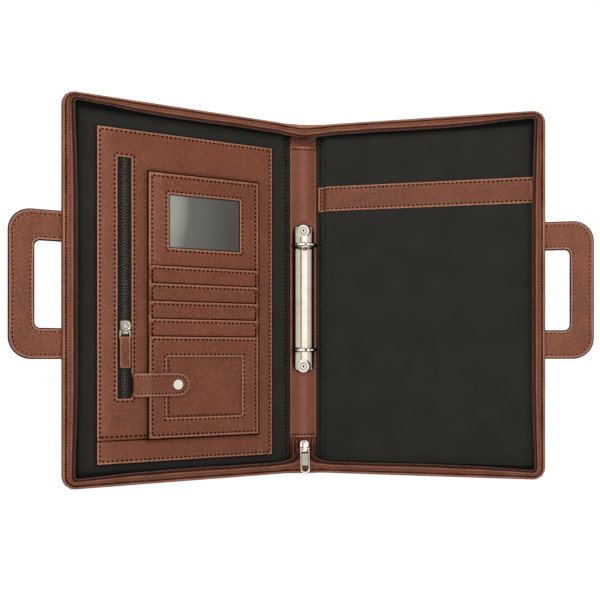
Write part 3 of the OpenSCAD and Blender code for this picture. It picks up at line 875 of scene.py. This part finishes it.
def rim(side):
    """The leather wall round one cover, its stitches, the zip tape and the coil."""
    name = SIDE_NAME[side]
    wall = sweep_rim(f"{name}_rim_wall", side, WALL, LEATHER)
    attach(wall, side, None, [f"{name}_rim"] + (["top_rim_bridge"] if side < 0 else []))
    sew(f"{name}_rim_stitches", side, None, [rim_rows(side, *RIM_SEAM, 4.0, 0.68)], length=2.5, radius=0.72,
        lift=0.4)
    tape = sweep_rim(f"{name}_zip_tape_cloth", side, TAPE_SECTION, BROWN_TAPE, trim=2.6)
    attach(tape, side, None, [f"{name}_zip_tape"])
    teeth = [rim_rows(side, *COIL_PLACE, 1.55, 0.12, trim=3.2)]
    sew(f"{name}_zip_coil", side, None, teeth, "zip_teeth_brown", [f"{name}_zip_teeth"], BROWN_COIL,
        length=1.7, radius=0.5, lift=0.1)


# ---- Spine, inside ----

DOME = spine_span("ring_dome")
SLIDER = spine_span("zip_slider")
STRIP_HEM = 3.2
GATHERS = ((6.9, 4.6, 1.2), (10.4, 3.2, 1.0), (13.2, 2.0, 0.7))    # upright folds: (s, height, width)
CREASES = ((8.7, 0.9), (11.9, 0.7), (4.8, 0.9))                    # painted shade lines between them: (s, width)


def spine_strip():
    """The convex leather strip that carries the rings, with a stitched hem at each end."""
    middle, half = (DOME.z0 + DOME.z1) / 2, (DOME.z1 - DOME.z0) / 2

    def bulge(s, z):
        clear = smooth((np.abs(z - middle) - half - 2) / 10)
        crown = np.clip(1 - (s / STRIP.s1) ** 2, 0, 1)
        return clear * (1.1 * crown + 0.16 * ripple(s, z, 24, 8)) - 0.12 * (1 - crown)

    def painted_shading(s, z):
        # Painted sheen along the strip's crown, painted shade towards its sides, and painted shade round the
        # ring dome.
        painted_sheen = 0.3 * bell(s, 5) - 0.2 * bell(np.abs(s) - 10.5, 2.5)
        return painted_sheen + painted_edge_shade(depth_in(DOME, s, z, DOME.s1 - 0.1), 1.5)

    obj, height = panel("spine_strip_leather", RIGHT, STRIP, STRIP.t1, STRIP.t0, relief=bulge, step=3.5,
                        lip=0.0, worn_and_lit=0.75, painted_shading=painted_shading, lines=((DOME.s0, DOME.s1), (DOME.z0, DOME.z1)))
    attach(obj, RIGHT, "spine", ["spine_strip"])
    hems = [[(STRIP.s0 + 1, z), (STRIP.s1 - 1, z)] for z in (STRIP.z0 + STRIP_HEM, STRIP.z1 - STRIP_HEM)]
    sew("spine_strip_stitches", RIGHT, "spine", lay_stitches(RIGHT, hems, height, pitch=3.3), length=2.4)


def spine_gusset():
    """Leather behind the strip, between the rims. Below the strip it gathers into folds beside the slider."""
    span = Span(STRIP.s0 - 1.4, STRIP.s1 + 1.4, 0, 0, 3.0, CASE_H - 3.6)

    def surface(s, z):
        across = np.abs(s)
        folds = sum(high * bell(across - at, width) for at, high, width in GATHERS)
        gathered = (1 - smooth((z - 20) / 18)) * folds * (0.9 + 0.1 * ripple(s, z, 12, 4))
        t = STRIP.t0 + 0.12 + gathered + 0.15 * (z > STRIP.z1) * ripple(s, z, 18, 9)
        # Painted highlight on the fold tops, and painted shade in the creases, beside the strip and under its
        # hem.
        valley_and_shade = sum(bell(across - at, width) for at, width in CREASES)
        shadows = valley_and_shade * (z < STRIP.z0 - 1) + 1.0 * (across > STRIP.s1 - 0.5)
        return t, 2.3, 0.45 * (t > STRIP.t0 + 2.0) - shadows - 0.5 * (np.abs(z - STRIP.z0 + 1) < 0.9)

    obj = slab("spine_gusset_leather", RIGHT, span, surface, LEATHER, 0.8, 5, seams=((), (STRIP.z0, 20, 30)))
    attach(obj, RIGHT, "spine")


def zip_end():
    """The closed stub of zip below the parked slider: two tapes and their meshed coil."""
    tail = spine_span("zip_tail")
    top = SLIDER.z0 + 2

    def surface(s, z):
        sides = -0.04 * s * s
        ridge = 1 - smooth((np.abs(s) - 0.4) / 1.2)
        return tail.t1 - 0.6 + 0.35 * ridge + sides, tail.t1 - 1.3 + sides, 0

    span = Span(tail.s0, tail.s1, 0, 0, tail.z0, top)
    obj = slab("zip_end_tape", RIGHT, span, surface, BROWN_TAPE, 0.8, 3, seams=((0,), ()))
    attach(obj, RIGHT, "spine", ["zip_tail"])
    row = zigzag(RIGHT, 0, tail.t1 - 0.25, np.arange(tail.z0 + 1, top, 1.5), 0.7)
    sew("zip_end_coil", RIGHT, "spine", [row], "zip_teeth_brown", material=BROWN_COIL, length=2.6, radius=0.6)


# ---- Organizer on the left cover ----

ZIP_TAPE = cover_span("organizer_zip_tape")
CARD = cover_span("card_panel")
WINDOW = cover_span("id_window")
SLOTS = [cover_span(f"card_slot_{k}") for k in (1, 2, 3, 4)]
POCKET = cover_span("card_pocket")
INSET = cover_span("card_pocket_inset")
STRAP = cover_span("pocket_strap")
CAP = cover_span("snap_cap")
SOCKET = cover_span("snap_socket")
# How far in from its edge each piece is stitched
ORGANIZER_SEAM, ZIP_SEAM, HEM_SEAM = 2.8, 2.9, 3.7
CARD_SEAM, WINDOW_SEAM, SLOT_SEAM = 3.4, 3.0, 3.1
POCKET_SEAM, INSET_SEAM = 3.1, 2.6
STRAP_SEAM, TAB_SEAM, BAND_SEAM = 3.0, 1.9, 2.8


def on_left(obj, slot, *replaces):
    attach(obj, LEFT, "left_cover", replaces)


def sew_left(name, paths, height, closed=False, **thread):
    sew(name, LEFT, "left_cover", lay_stitches(LEFT, paths, height, closed=closed), **thread)


def organizer_panel():
    """The large stitched panel with the zip opening, and the hem line across its foot."""
    opening = grown(ZIP_TAPE, -0.4)
    hem_z = CARD.z0

    def relief(s, z):
        border, card = depth_in(ORGANIZER, s, z), depth_in(CARD, s, z)
        foot = (s > CARD.s1) & (z < hem_z)
        step = -0.35 * foot * smooth((hem_z - z) / 0.5) * smooth(border / 3)
        covered = smooth((card + 1) / 3)
        free = (0.3 * ripple(s, z, 60, 13) - 0.35 * bell(card, 5)) * (1 - covered)
        return smooth((border - 6) / 20) * (free - 0.3 * covered) + step

    def painted_shading(s, z):
        # Painted shade round the card panel and inside the spine-side stitch row, painted sheen along the
        # outer margin and beside the card panel, and painted shade along the hem line.
        card = depth_in(CARD, s, z)
        wear_and_shading = np.where(card < 0, painted_edge_shade(card) + painted_edge_shade(card, 6, 0.25), 0)
        wear_and_shading = wear_and_shading + 0.22 * bell(ORGANIZER.s1 - s - 8, 8)
        wear_and_shading = wear_and_shading - 0.34 * bell(s - ORGANIZER.s0 - ORGANIZER_SEAM - 3.2, 2.6)
        wear_and_shading = wear_and_shading + 0.3 * bell(CARD.s0 - s - 2.6, 1.8) * (z < CARD.z1)
        return wear_and_shading - 1.0 * (s > CARD.s1) * bell(z - hem_z, 0.9)

    obj, height = panel("organizer_leather", LEFT, ORGANIZER, ORGANIZER.t1, ORGANIZER.t0, seam=ORGANIZER_SEAM,
                        holes=[opening], hole_seam=ZIP_SEAM, relief=relief, painted_shading=painted_shading,
                        lines=((CARD.s0, CARD.s1), (CARD.z0, CARD.z1)))
    on_left(obj, "leather", "organizer_panel")
    paths = [loop_path(ORGANIZER, ORGANIZER_SEAM), loop_path(grown(opening, ZIP_SEAM), 0)]
    rows = lay_stitches(LEFT, paths, height, closed=True)
    hem = hem_z + HEM_SEAM
    rows += lay_stitches(LEFT, [[(CARD.s1 + 1, hem), (ORGANIZER.s1 - ORGANIZER_SEAM, hem)]], height)
    sew("organizer_stitches", LEFT, "left_cover", rows)
    organizer_zip(opening)


def organizer_zip(opening):
    """Black tapes behind the opening, the meshed coil that runs down their middle, and its sewing lanes."""
    middle = (opening.s0 + opening.s1) / 2

    def surface(s, z):
        rise = 0.3 * (1 - smooth((np.abs(s - middle) - 1.2) / 1.5))
        rib = 0.08 * np.cos((s - middle) * 4.2)
        return ZIP_TAPE.t1 - 0.2 + rise + rib, ZIP_TAPE.t0, 0

    tape = grid_slab("organizer_zip_cloth", LEFT, np.linspace(ZIP_TAPE.s0, ZIP_TAPE.s1, 41),
                     grid_lines(ZIP_TAPE.z0, ZIP_TAPE.z1, step=6), surface, BLACK_TAPE)
    on_left(tape, "zip_tape_black", "organizer_zip_tape")
    row = zigzag(LEFT, middle, ZIP_TAPE.t1 + 0.35, np.arange(opening.z0 + 0.8, opening.z1, 1.35), 0.55)
    sew("organizer_zip_coil", LEFT, "left_cover", [row], "zip_teeth_black", ["organizer_zip_teeth"],
        BLACK_COIL, length=2.3, radius=0.5)
    lanes = [[(s, opening.z0 + 1), (s, opening.z1 - 1)] for s in (middle - 2.4, middle + 2.4)]
    rows = lay_stitches(LEFT, lanes, lambda s, z: np.full(s.shape, ZIP_TAPE.t1 + 0.05), pitch=3.0)
    sew("organizer_zip_lanes", LEFT, "left_cover", rows, "zip_teeth_black", material=BLACK_COIL, length=1.7,
        radius=0.42, lift=0.05)


def slider_relief():
    """Plain relief on the organizer slider's disc: two raised rings round a domed centre."""
    disc = cover_span("organizer_slider")
    cs, cz, radius = (disc.s0 + disc.s1) / 2, disc.z1 - 5.0, 4.7
    face = Span(cs - radius, cs + radius, 0, 0, cz - radius, cz + radius)

    def surface(s, z):
        out = np.hypot(s - cs, z - cz)
        rings = sum(smooth(1.5 - np.abs(out - ring) / 0.35) for ring in (4.2, 2.5))
        return disc.t1 - 0.08 + 0.55 * (rings + smooth(1.3 - out / 1.3)), disc.t1 - 0.3, 0

    obj = grid_slab("organizer_slider_relief", LEFT, np.linspace(face.s0, face.s1, 33),
                    np.linspace(face.z0, face.z1, 33), surface, SATIN,
                    warp=lambda s, z: round_corners(face, s, z, radius - 0.02))
    attach(obj, LEFT, "organizer_slider")


def card_panel():
    """The raised panel that holds the window and the card slots."""
    opening = grown(WINDOW, -0.2)
    slots_top = SLOTS[0].z1

    def relief(s, z):
        return 0.12 * smooth((depth_in(CARD, s, z) - 4) / 12) * ripple(s, z, 45, 17)

    def painted_shading(s, z):
        # Painted sheen along the outer margin, painted shade inside the spine-side stitch row, and painted
        # shadow just above the slots' top edge.
        painted_sheen = 0.22 * bell(CARD.s1 - s - 8, 7) - 0.28 * bell(s - CARD.s0 - 6.8, 2.4)
        return painted_sheen + painted_edge_shade(slots_top - z) * (z >= slots_top) * (depth_in(CARD, s, z) > 0.5)

    obj, height = panel("card_panel_leather", LEFT, CARD, CARD.t1, CARD.t0, seam=CARD_SEAM, holes=[opening],
                        hole_seam=WINDOW_SEAM, relief=relief, lip=0.22, painted_shading=painted_shading,
                        lines=((CARD.s0, CARD.s1), (slots_top,)))
    on_left(obj, "leather", "card_panel")
    paths = [loop_path(CARD, CARD_SEAM), loop_path(grown(opening, WINDOW_SEAM), 0)]
    sew_left("card_panel_stitches", paths, height, closed=True)
    id_window()


def id_window():
    """A clear vinyl sheet that bows a little between the window's edges."""
    span = grown(WINDOW, -0.1)

    def surface(s, z):
        d = depth_in(span, s, z)
        bow = smooth((d - 0.5) / 12) * (0.25 + 0.06 * ripple(s, z, 30, 6))
        # Painted shade along the vinyl's edges.
        return WINDOW.t0 + 0.1 + bow, WINDOW.t0 + 0.02, -bell(np.maximum(d, 0), 0.9)

    on_left(slab("id_window_vinyl", LEFT, span, surface, VINYL, 3), "window", "id_window")


def card_slot(k, slot, below):
    """One card slot, laid like a roof tile. `below` is the height of the next piece's top edge."""
    span = Span(slot.s0 + 0.4, slot.s1 - 0.4, 0, 0, slot.z0 - 1.5, slot.z1)
    low, high = slot.t0 + 0.15, slot.t1 + 0.1
    seam_z = span.z1 - SLOT_SEAM

    def height(s, z):
        lean = low + (high - low) * smooth((z - span.z0) / (span.z1 - span.z0))
        top_edge = np.clip(1 - (span.z1 - z) / 0.9, 0, 1)
        ends = np.clip(1 - np.minimum(s - span.s0, span.s1 - s) / 0.7, 0, 1)
        t = CARD.t1 + (lean - CARD.t1) * np.sqrt(1 - top_edge ** 2) * np.sqrt(1 - ends ** 2)
        lip = np.sin(math.pi * np.clip((span.z1 - z) / SLOT_SEAM, 0, 1))
        return t + 0.2 * lip - 0.3 * bell(seam_z - z, 0.55) + 0.06 * ripple(s, z, 30, 40 + k)

    def surface(s, z):
        # The edge's wear and painted highlight, and painted shade just above the top edge of the piece below.
        return height(s, z), CARD.t1 - 0.25, edge_wear_and_shading(span.z1 - z, SLOT_SEAM, 1.6) + painted_edge_shade(below - z)

    obj = slab(f"card_slot_{k}_leather", LEFT, span, surface, LEATHER, 6, 3, seams=((), [seam_z]),
               edges=((), (below,)))
    on_left(obj, "leather", f"card_slot_{k}")
    seams = [[(span.s0 + 3.6, seam_z), (span.s1 - 3.6, seam_z)]]
    seams += [[(s, span.z0 + 1.5), (s, span.z1 - 3)] for s in (span.s0 + 3, span.s1 - 3)]
    sew_left(f"card_slot_{k}_stitches", seams, height)


def card_pocket():
    """The pocket under the slots, with a sunk and stitched face in its frame."""
    span = Span(POCKET.s0 + 0.3, POCKET.s1 - 0.3, 0, 0, POCKET.z0 + 0.2, POCKET.z1)
    opening, face = grown(INSET, -0.3), grown(INSET, -0.1)

    def relief(s, z):
        return 0.08 * smooth((depth_in(span, s, z) - 4) / 10) * ripple(s, z, 40, 19)

    def face_surface(s, z):
        d = depth_in(face, s, z)
        t = INSET.t1 - 0.12 + 0.5 * smooth((d - 1.5) / 14) + 0.07 * ripple(s, z, 35, 23)
        # Painted shade round the edge of the sunk face.
        return t, INSET.t0 + 0.02, -0.6 * np.exp(-d / 1.2)

    obj, height = panel("card_pocket_leather", LEFT, span, POCKET.t1, CARD.t1 - 0.2, seam=POCKET_SEAM,
                        holes=[opening], hole_seam=INSET_SEAM, relief=relief, lip=0.2)
    on_left(obj, "leather", "card_pocket")
    paths = [loop_path(span, POCKET_SEAM), loop_path(grown(opening, INSET_SEAM), 0)]
    sew_left("card_pocket_stitches", paths, height, closed=True)
    foot = [(face.s0 + 1.6, face.z0 + 1.4), (face.s1 - 1.4, face.z0 + 1.4), (face.s1 - 1.4, face.z1 - 1.6)]
    sew_left("card_pocket_face_stitches", [foot], lambda s, z: face_surface(s, z)[0], radius=0.55)
    on_left(slab("card_pocket_face", LEFT, face, face_surface, LEATHER, 5), "leather", "card_pocket_inset",
            "strap_anchor")


def strap():
    """The snap strap: round at its tip, bent down into the zip opening at its root, where it hinges."""
    span = Span(STRAP.s0, STRAP.s1 - 0.6, 0, 0, STRAP.z0, STRAP.z1)
    middle, corner = (span.z0 + span.z1) / 2, (span.z1 - span.z0) / 2 - 0.05
    root = Span(span.s0, span.s1 + corner, 0, 0, span.z0, span.z1)
    base, top = SOCKET.t1, CAP.t0 + 0.15

    def depth(s, z):
        return depth_in(root, s, z, corner)

    def dive(s):
        return -1.9 * smooth((s - span.s1 + 9) / 9.5)

    def height(s, z):
        t = turned_edge(depth(s, z), base + 0.3, top, STRAP_SEAM, roll=0.75, lip=0.22)
        return t + dive(s) + 0.05 * ripple(s, z, 20, 27)

    def lining(s, z):
        return base + dive(s) + 0.12 * bell(depth(s, z) - STRAP_SEAM, 0.55)

    def surface(s, z):
        # Painted highlight over the strap's bend and painted shade where its root goes down into the opening.
        shade = 0.25 * bell(s - span.s1 + 13, 6) - 0.9 * smooth((s - span.s1 + 3.5) / 3)
        return height(s, z), lining(s, z), edge_wear_and_shading(depth(s, z), STRAP_SEAM, 1.6) + shade

    def bend(obj):
        """Bakes the strap's placement into its mesh points."""
        start, end = (Vector(place(LEFT, span.s1 - d, base, middle) * MM) for d in (0.4, 7.0))
        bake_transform(obj)

    lines = grid_lines(span.s0, span.s1, (), [span.s0 + corner * k for k in (0.25, 0.5, 0.75, 1)], 2.5)
    lines = np.union1d(lines[lines < span.s1 - 8], np.linspace(span.s1 - 8, span.s1, 17))
    low, high = span.z0 + STRAP_SEAM, span.z1 - STRAP_SEAM
    obj = grid_slab("pocket_strap_leather", LEFT, lines, grid_lines(span.z0, span.z1, (), (low, high), 1.6),
                    surface, LEATHER, warp=lambda s, z: round_corners(root, s, z, corner))
    bend(obj)
    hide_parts("pocket_strap")
    loop = [p for p in loop_path(root, STRAP_SEAM, corner) if p[0] < span.s0 + corner + 1]
    loop = sorted(loop, key=lambda p: math.atan2(p[1] - middle, span.s1 - p[0]))
    front, back = ([(span.s1 - d, low)] + loop + [(span.s1 - d, high)] for d in (4, 8.5))
    rows = lay_stitches(LEFT, [front], height, pitch=3.4)
    rows += lay_stitches(LEFT, [back], lambda s, z: lining(s, z) + 0.25, out=-1, pitch=3.4)
    bend(stitch_piece("pocket_strap_stitches", rows, length=2.3, radius=0.7))


def organizer_tab():
    """The slider's folded leather pull tab, hung on its bail."""
    tab = cover_span("organizer_tab")
    corner = 2.2
    centre, thin = (tab.t0 + tab.t1) / 2, (tab.t1 - tab.t0) / 2 - 0.75
    left, right, foot, neck = tab.s0 + TAB_SEAM, tab.s1 - TAB_SEAM, tab.z0 + TAB_SEAM, tab.z1 - 6

    def surface(s, z):
        d = depth_in(tab, s, z, corner)
        rounded = np.sqrt(1 - np.clip(1 - d / 0.8, 0, 1) ** 2)
        fold = smooth((tab.z1 - z) / 5)
        half = 0.25 + (0.55 + thin * (0.45 + 0.55 * (1 - fold))) * rounded - 0.18 * bell(d - TAB_SEAM, 0.5)
        return centre + half, centre - half, edge_wear_and_shading(d, TAB_SEAM, 1.0)

    obj = slab("organizer_tab_leather", LEFT, tab, surface, LEATHER, 1.5, 2, seams=((left, right), (foot,)),
               warp=lambda s, z: round_corners(tab, s, z, corner))
    attach(obj, LEFT, "organizer_tab", ["organizer_tab"])
    path = [(left, neck), (left, foot), (right, foot), (right, neck)]
    rows = lay_stitches(LEFT, [path], lambda s, z: surface(s, z)[0], pitch=3.0)
    sew("organizer_tab_stitches", LEFT, "organizer_tab", rows, length=1.9, radius=0.3)


# ---- Pad pocket and band on the right cover ----

def pad_pocket():
    """The black pocket that holds a pad, with a little slack in its face."""
    pocket = cover_span("pad_pocket")

    def surface(s, z):
        d = np.minimum(np.minimum(s - pocket.s0, pocket.s1 - s), z - pocket.z0)
        slack = smooth((d - 2) / 30) * (0.35 + 0.3 * ripple(s, z, 110, 29))
        return pocket.t1 - 0.1 + slack - 0.15 * bell(d - 2.5, 0.8), pocket.t0 + 0.02, 0

    obj = slab("pad_pocket_cloth", RIGHT, pocket, surface, LINING, 7,
               seams=((pocket.s0 + 2.5,), (pocket.z0 + 2.5,)))
    attach(obj, RIGHT, "right_cover", ["pad_pocket"])


def pad_band():
    """The stitched leather band over the pocket's mouth, whose inner end crosses the fold."""
    band = cover_span("pad_band")
    span = Span(AXIS_S - 5.4, band.s1, 0, 0, band.z0, band.z1)
    low, high, start = span.z0 + BAND_SEAM, span.z1 - BAND_SEAM, span.s0 + BAND_SEAM

    def level(s):
        floor = STRIP.t0 + 1.0
        return floor + (band.t0 - floor) * smooth((s - AXIS_S - 0.2) / 5.0)

    def height(s, z):
        d = depth_in(span, s, z)
        return level(s) + turned_edge(d, 0.0, 0.9, BAND_SEAM) + 0.1 * smooth(d / 6) * ripple(s, z, 50, 37)

    def surface(s, z):
        return height(s, z), level(s) - 0.12, edge_wear_and_shading(depth_in(span, s, z), BAND_SEAM)

    folds = [AXIS_S + d for d in (0, 3, 6, 9)]
    obj = slab("pad_band_leather", RIGHT, span, surface, LEATHER, 6, 4,
               seams=([start, span.s1 - BAND_SEAM] + folds, (low, high)))
    attach(obj, RIGHT, None, ["pad_band"])
    path = [(span.s1 - 1, low), (start, low), (start, high), (span.s1 - 1, high)]
    sew("pad_band_stitches", RIGHT, None, lay_stitches(RIGHT, [path], height))


# ---- Handles ----

HANDLE_OUTER_R, HANDLE_INNER_R = 20.0, 5.0
HANDLE_OPENING = 79.0           # the hand opening's height
HANDLE_WIDTH = 22.7             # the grip's width
OUTER_STITCHES, INNER_STITCHES = 4.6, 3.4           # how far in from each edge the handle is stitched
ARM_STEPS, TURN_STEPS, GRIP_STEPS = 14, 12, 22


def handle_contour(root, reach, half, r):
    """Half-open flat contour of a handle: out along one arm, round a corner, along the grip and back."""
    lower = [(s, -half) for s in np.linspace(root, reach - r, ARM_STEPS)]
    lower += [(reach - r + r * math.sin(a), -half + r - r * math.cos(a))
              for a in np.linspace(0, math.pi / 2, TURN_STEPS)[1:-1]]
    grip = [(reach, z) for z in np.linspace(-half + r, half - r, GRIP_STEPS)]
    return np.array(lower + grip + [(s, -z) for s, z in lower[::-1]])


def handle(side):
    """A flat leather loop: two layers stitched together along both edges."""
    name = SIDE_NAME[side]
    grip = cover_span(f"{name}_handle_grip")
    middle, half = (grip.z0 + grip.z1) / 2, (grip.z1 - grip.z0) / 2
    mid_t, thick = (grip.t0 + grip.t1) / 2, (grip.t1 - grip.t0) / 2 - 0.02
    outer = handle_contour(grip.s0, grip.s1, half, HANDLE_OUTER_R)
    inner = handle_contour(grip.s0, grip.s1 - HANDLE_WIDTH, HANDLE_OPENING / 2, HANDLE_INNER_R)
    width = np.linalg.norm(inner - outer, axis=1)

    def seams(d_out, reach):
        return bell(d_out - OUTER_STITCHES, reach) + bell(width - d_out - INNER_STITCHES, reach)

    from_outer = (0, 0.12, 0.4, 0.9, 1.6, 2.8, 3.8, 4.25, 4.6, 4.95, 5.6, 7.0)
    from_inner = (5.4, 4.2, 3.75, 3.4, 3.05, 2.4, 1.6, 0.9, 0.4, 0.12, 0)
    stations = [np.full(len(outer), float(d)) for d in from_outer]
    stations += [width * share for share in (0.42, 0.5, 0.58)] + [width - d for d in from_inner]
    front, back, wear_and_shading_rows = [], [], []
    for d_out in stations:
        s, z = (outer + (inner - outer) * (d_out / width)[:, None]).T
        near = np.minimum(d_out, width - d_out)
        rounded = np.sqrt(1 - np.clip(1 - near / 1.1, 0, 1) ** 2)
        h = thick * (0.12 + 0.88 * rounded) - 0.42 * seams(d_out, 0.7)
        wave = 0.12 * ripple(s, z, 40, 51)
        for sheet, sign in ((front, 1), (back, -1)):
            sheet.append(np.stack([s, mid_t + sign * h + wave * 0.3, z + middle], 1))
        # Dark edge paint on the cut edge, a pale band inside it from wear and a painted highlight, and a
        # painted highlight along each stitch row.
        wear_and_shading_rows.append(0.8 * (1 - smooth((near - 1.6) / 1.6)) - 1.9 * (near < 1.0) + 0.35 * seams(d_out, 0.8))
    rings = np.stack(front + back[::-1])
    faces = loft(rings)
    if side < 0:
        faces = [f[::-1] for f in faces]
    points = rings.reshape(-1, 3)
    wear_and_shading = np.concatenate(wear_and_shading_rows + wear_and_shading_rows[::-1])
    obj = make_piece(f"{name}_handle_leather", place(side, *points.T), faces, GRIP_LEATHER, points, wear_and_shading)
    attach(obj, side, f"{name}_handle", [f"{name}_handle_grip"])
    shares = (OUTER_STITCHES / width, 1 - INNER_STITCHES / width)
    paths = [outer + (inner - outer) * share[:, None] + [0, middle] for share in shares]
    rows = []
    for path in paths:
        for out in (1, -1):
            level = mid_t + out * (thick - 0.5)
            rows += lay_stitches(side, [path], lambda s, z: np.full(s.shape, level), out, pitch=4.0)
    sew(f"{name}_handle_stitches", side, f"{name}_handle", rows, "handle_leather", length=2.9, radius=0.66,
        lift=-0.1)


# ---- Metal and hidden parts that keep their CAD shape ----

# (material, width of the rounded edges, nodes)
CAD_LOOKS = (
    (NICKEL, 0.25, ("ring_dome", "zip_pull_frame")),
    (NICKEL, 0.1, ("zip_slider",)),
    (NICKEL, 0.12, ("ring_rivets", "left_half_rings", "right_half_rings", "organizer_tab_bail")),
    (NICKEL, 0.12, ("snap_socket", "snap_stud")),
    (SATIN, 0.2, ("organizer_slider", "snap_cap")),
    (BRUSHED, 0.3, ("zip_pull_insert",)),
    (BOARD, 0, ("spine_board", "left_cover_board", "right_cover_board")),
    (BOARD, 0, ("left_handle_stop", "right_handle_stop")),
    (FOAM, 0, ("left_cover_pad", "right_cover_pad")),
    (LINING, 0, ("organizer_backing",)),
)


def finish_cad(node, material, bevel):
    """Gives a CAD node its material, and rounds its edges a little without touching its mesh points."""
    obj = frame["nodes"][node]
    mesh = obj.data
    mesh.materials.clear()
    mesh.materials.append(material)
    mesh.polygons.foreach_set("material_index", [0] * len(mesh.polygons))
    if "custom_normal" in mesh.attributes:
        mesh.attributes.remove(mesh.attributes["custom_normal"])
    if not bevel:
        return
    mesh.polygons.foreach_set("use_smooth", [True] * len(mesh.polygons))
    weld = obj.modifiers.new("weld", "WELD")
    weld.merge_threshold = 0.00001
    soft = obj.modifiers.new("bevel", "BEVEL")
    soft.width = bevel * MM
    soft.segments = 2
    soft.limit_method = "ANGLE"
    soft.angle_limit = math.radians(35)
    soft.harden_normals = True


# ---- Floor, light and camera ----

AMBIENT = 0.30                  # how strongly the surround lights the case
SWEEP_GLOW = 0.62
HORIZON = (                     # what polished metal mirrors, from left to right
    (0.0, (0.55, 0.52, 0.48)), (0.2, (0.66, 0.64, 0.60)), (0.38, (0.74, 0.71, 0.66)),
    (0.45, (0.88, 0.81, 0.72)), (0.468, (0.12, 0.035, 0.015)), (0.515, (0.12, 0.035, 0.015)),
    (0.54, (1.1, 1.05, 1.0)), (0.57, (1.15, 1.15, 1.12)), (0.7, (1.15, 1.15, 1.12)),
    (0.73, (0.54, 0.52, 0.48)), (0.8, (0.54, 0.52, 0.48)), (0.83, (0.74, 0.68, 0.60)),
    (0.92, (0.74, 0.68, 0.60)), (0.95, (0.42, 0.40, 0.38)),
)
SWEEP_REACH, SWEEP_DEPTH, SWEEP_RISE, SWEEP_BEND = 3.0, 2.2, 2.5, 0.8      # metres


def seen_or_mirrored(tree):
    """1 for the camera's own rays and for mirrored ones, 0 for light. Returned with the mirrored part."""
    path = add(tree, "LightPath").outputs
    return calculate(tree, "MAXIMUM", path["Is Camera Ray"], path["Is Glossy Ray"]), path["Is Glossy Ray"]


def sweep():
    """A pale floor that curves up into a backdrop."""
    mat, tree = new_material("studio_sweep")
    dress(mat, {
        "Base Color": (0.93, 0.93, 0.93, 1),
        "Roughness": 0.9,
        "Emission Color": (1, 1, 1, 1),
        "Emission Strength": calculate(tree, "MULTIPLY", seen_or_mirrored(tree)[0], SWEEP_GLOW),
    })
    straight = SWEEP_DEPTH - SWEEP_BEND
    profile = [(-SWEEP_REACH, 0.0)]
    profile += [(straight + SWEEP_BEND * math.sin(a), SWEEP_BEND - SWEEP_BEND * math.cos(a))
                for a in np.linspace(0, math.pi / 2, 13)]
    profile += [(SWEEP_DEPTH, SWEEP_RISE)]
    n = len(profile)
    mesh = bpy.data.meshes.new("studio_sweep")
    mesh.from_pydata([(x, y, z) for x in (-SWEEP_REACH, SWEEP_REACH) for y, z in profile], [],
                     [[i, n + i, n + i + 1, i + 1] for i in range(n - 1)])
    mesh.polygons.foreach_set("use_smooth", [True] * (n - 1))
    mesh.materials.append(mat)
    new_object("studio_sweep", mesh)


def surround():
    """The world: white to the camera, softer as light, and banded from left to right for metal to mirror."""
    world = bpy.data.worlds.new("studio_world")
    world.use_nodes = True
    tree = world.node_tree
    direction = add(tree, "TexCoord").outputs["Generated"]
    across = add(tree, "SeparateXYZ", {"Vector": direction}).outputs["X"]
    bands = add(tree, "ValToRGB", {"Fac": remap(tree, across, -1, 1)})
    stops = bands.color_ramp.elements
    for k, (at, colour) in enumerate(HORIZON):
        stop = stops[k] if k < len(stops) else stops.new(at)
        stop.position = at
        stop.color = (*colour, 1)
    seen, mirrored = seen_or_mirrored(tree)
    background = tree.nodes["Background"]
    feed(tree, background.inputs["Color"], blend_colour(tree, mirrored, (1, 1, 1, 1), bands.outputs["Color"]))
    feed(tree, background.inputs["Strength"], remap(tree, seen, 0, 1, AMBIENT, 1.0))
    bpy.context.scene.world = world


def soft_light(name, at, target, size, power, mirrored=True):
    light = bpy.data.lights.new(name, "AREA")
    light.shape = "SQUARE"
    light.size = size
    light.energy = power
    lamp = new_object(name, light)
    lamp.location = at
    lamp.rotation_euler = (Vector(target) - Vector(at)).to_track_quat("-Z", "Y").to_euler()
    lamp.visible_glossy = mirrored


def viewpoint():
    """The camera: level, a little left of centre, at a third of the case's height."""
    data = bpy.data.cameras.new("viewpoint")
    data.lens = 44.34
    data.sensor_width = 36
    data.shift_y = 0.0931
    camera = new_object("viewpoint", data)
    camera.location = (-0.0990, -0.7747, 0.1228)
    camera.rotation_euler = (math.radians(90), 0, math.radians(-7.06))
    bpy.context.scene.camera = camera


# ---- Build ----

spine_panel()
spine_gusset()
spine_strip()
zip_end()
for cover in (LEFT, RIGHT):
    outer_skin(cover)
    lining_panel(cover)
    rim(cover)
    handle(cover)
organizer_panel()
card_panel()
for number, (slot, below) in enumerate(zip(SLOTS, SLOTS[1:] + [POCKET]), 1):
    card_slot(number, slot, below.z1)
card_pocket()
strap()
slider_relief()
organizer_tab()
pad_pocket()
pad_band()
for material, bevel, nodes in CAD_LOOKS:
    for node in nodes:
        finish_cad(node, material, bevel)
sweep()
surround()
soft_light("key_light", (-0.9, -1.5, 1.5), (0.0, -0.05, 0.2), 1.0, 17)
soft_light("fill_light", (0.85, -1.35, 0.62), (0.0, -0.05, 0.2), 0.9, 5.5, mirrored=False)
soft_light("back_light", (0.3, 1.0, 1.4), (0.0, 0.0, 0.2), 1.2, 6)
viewpoint()
bpy.context.scene.view_settings.view_transform = "Standard"
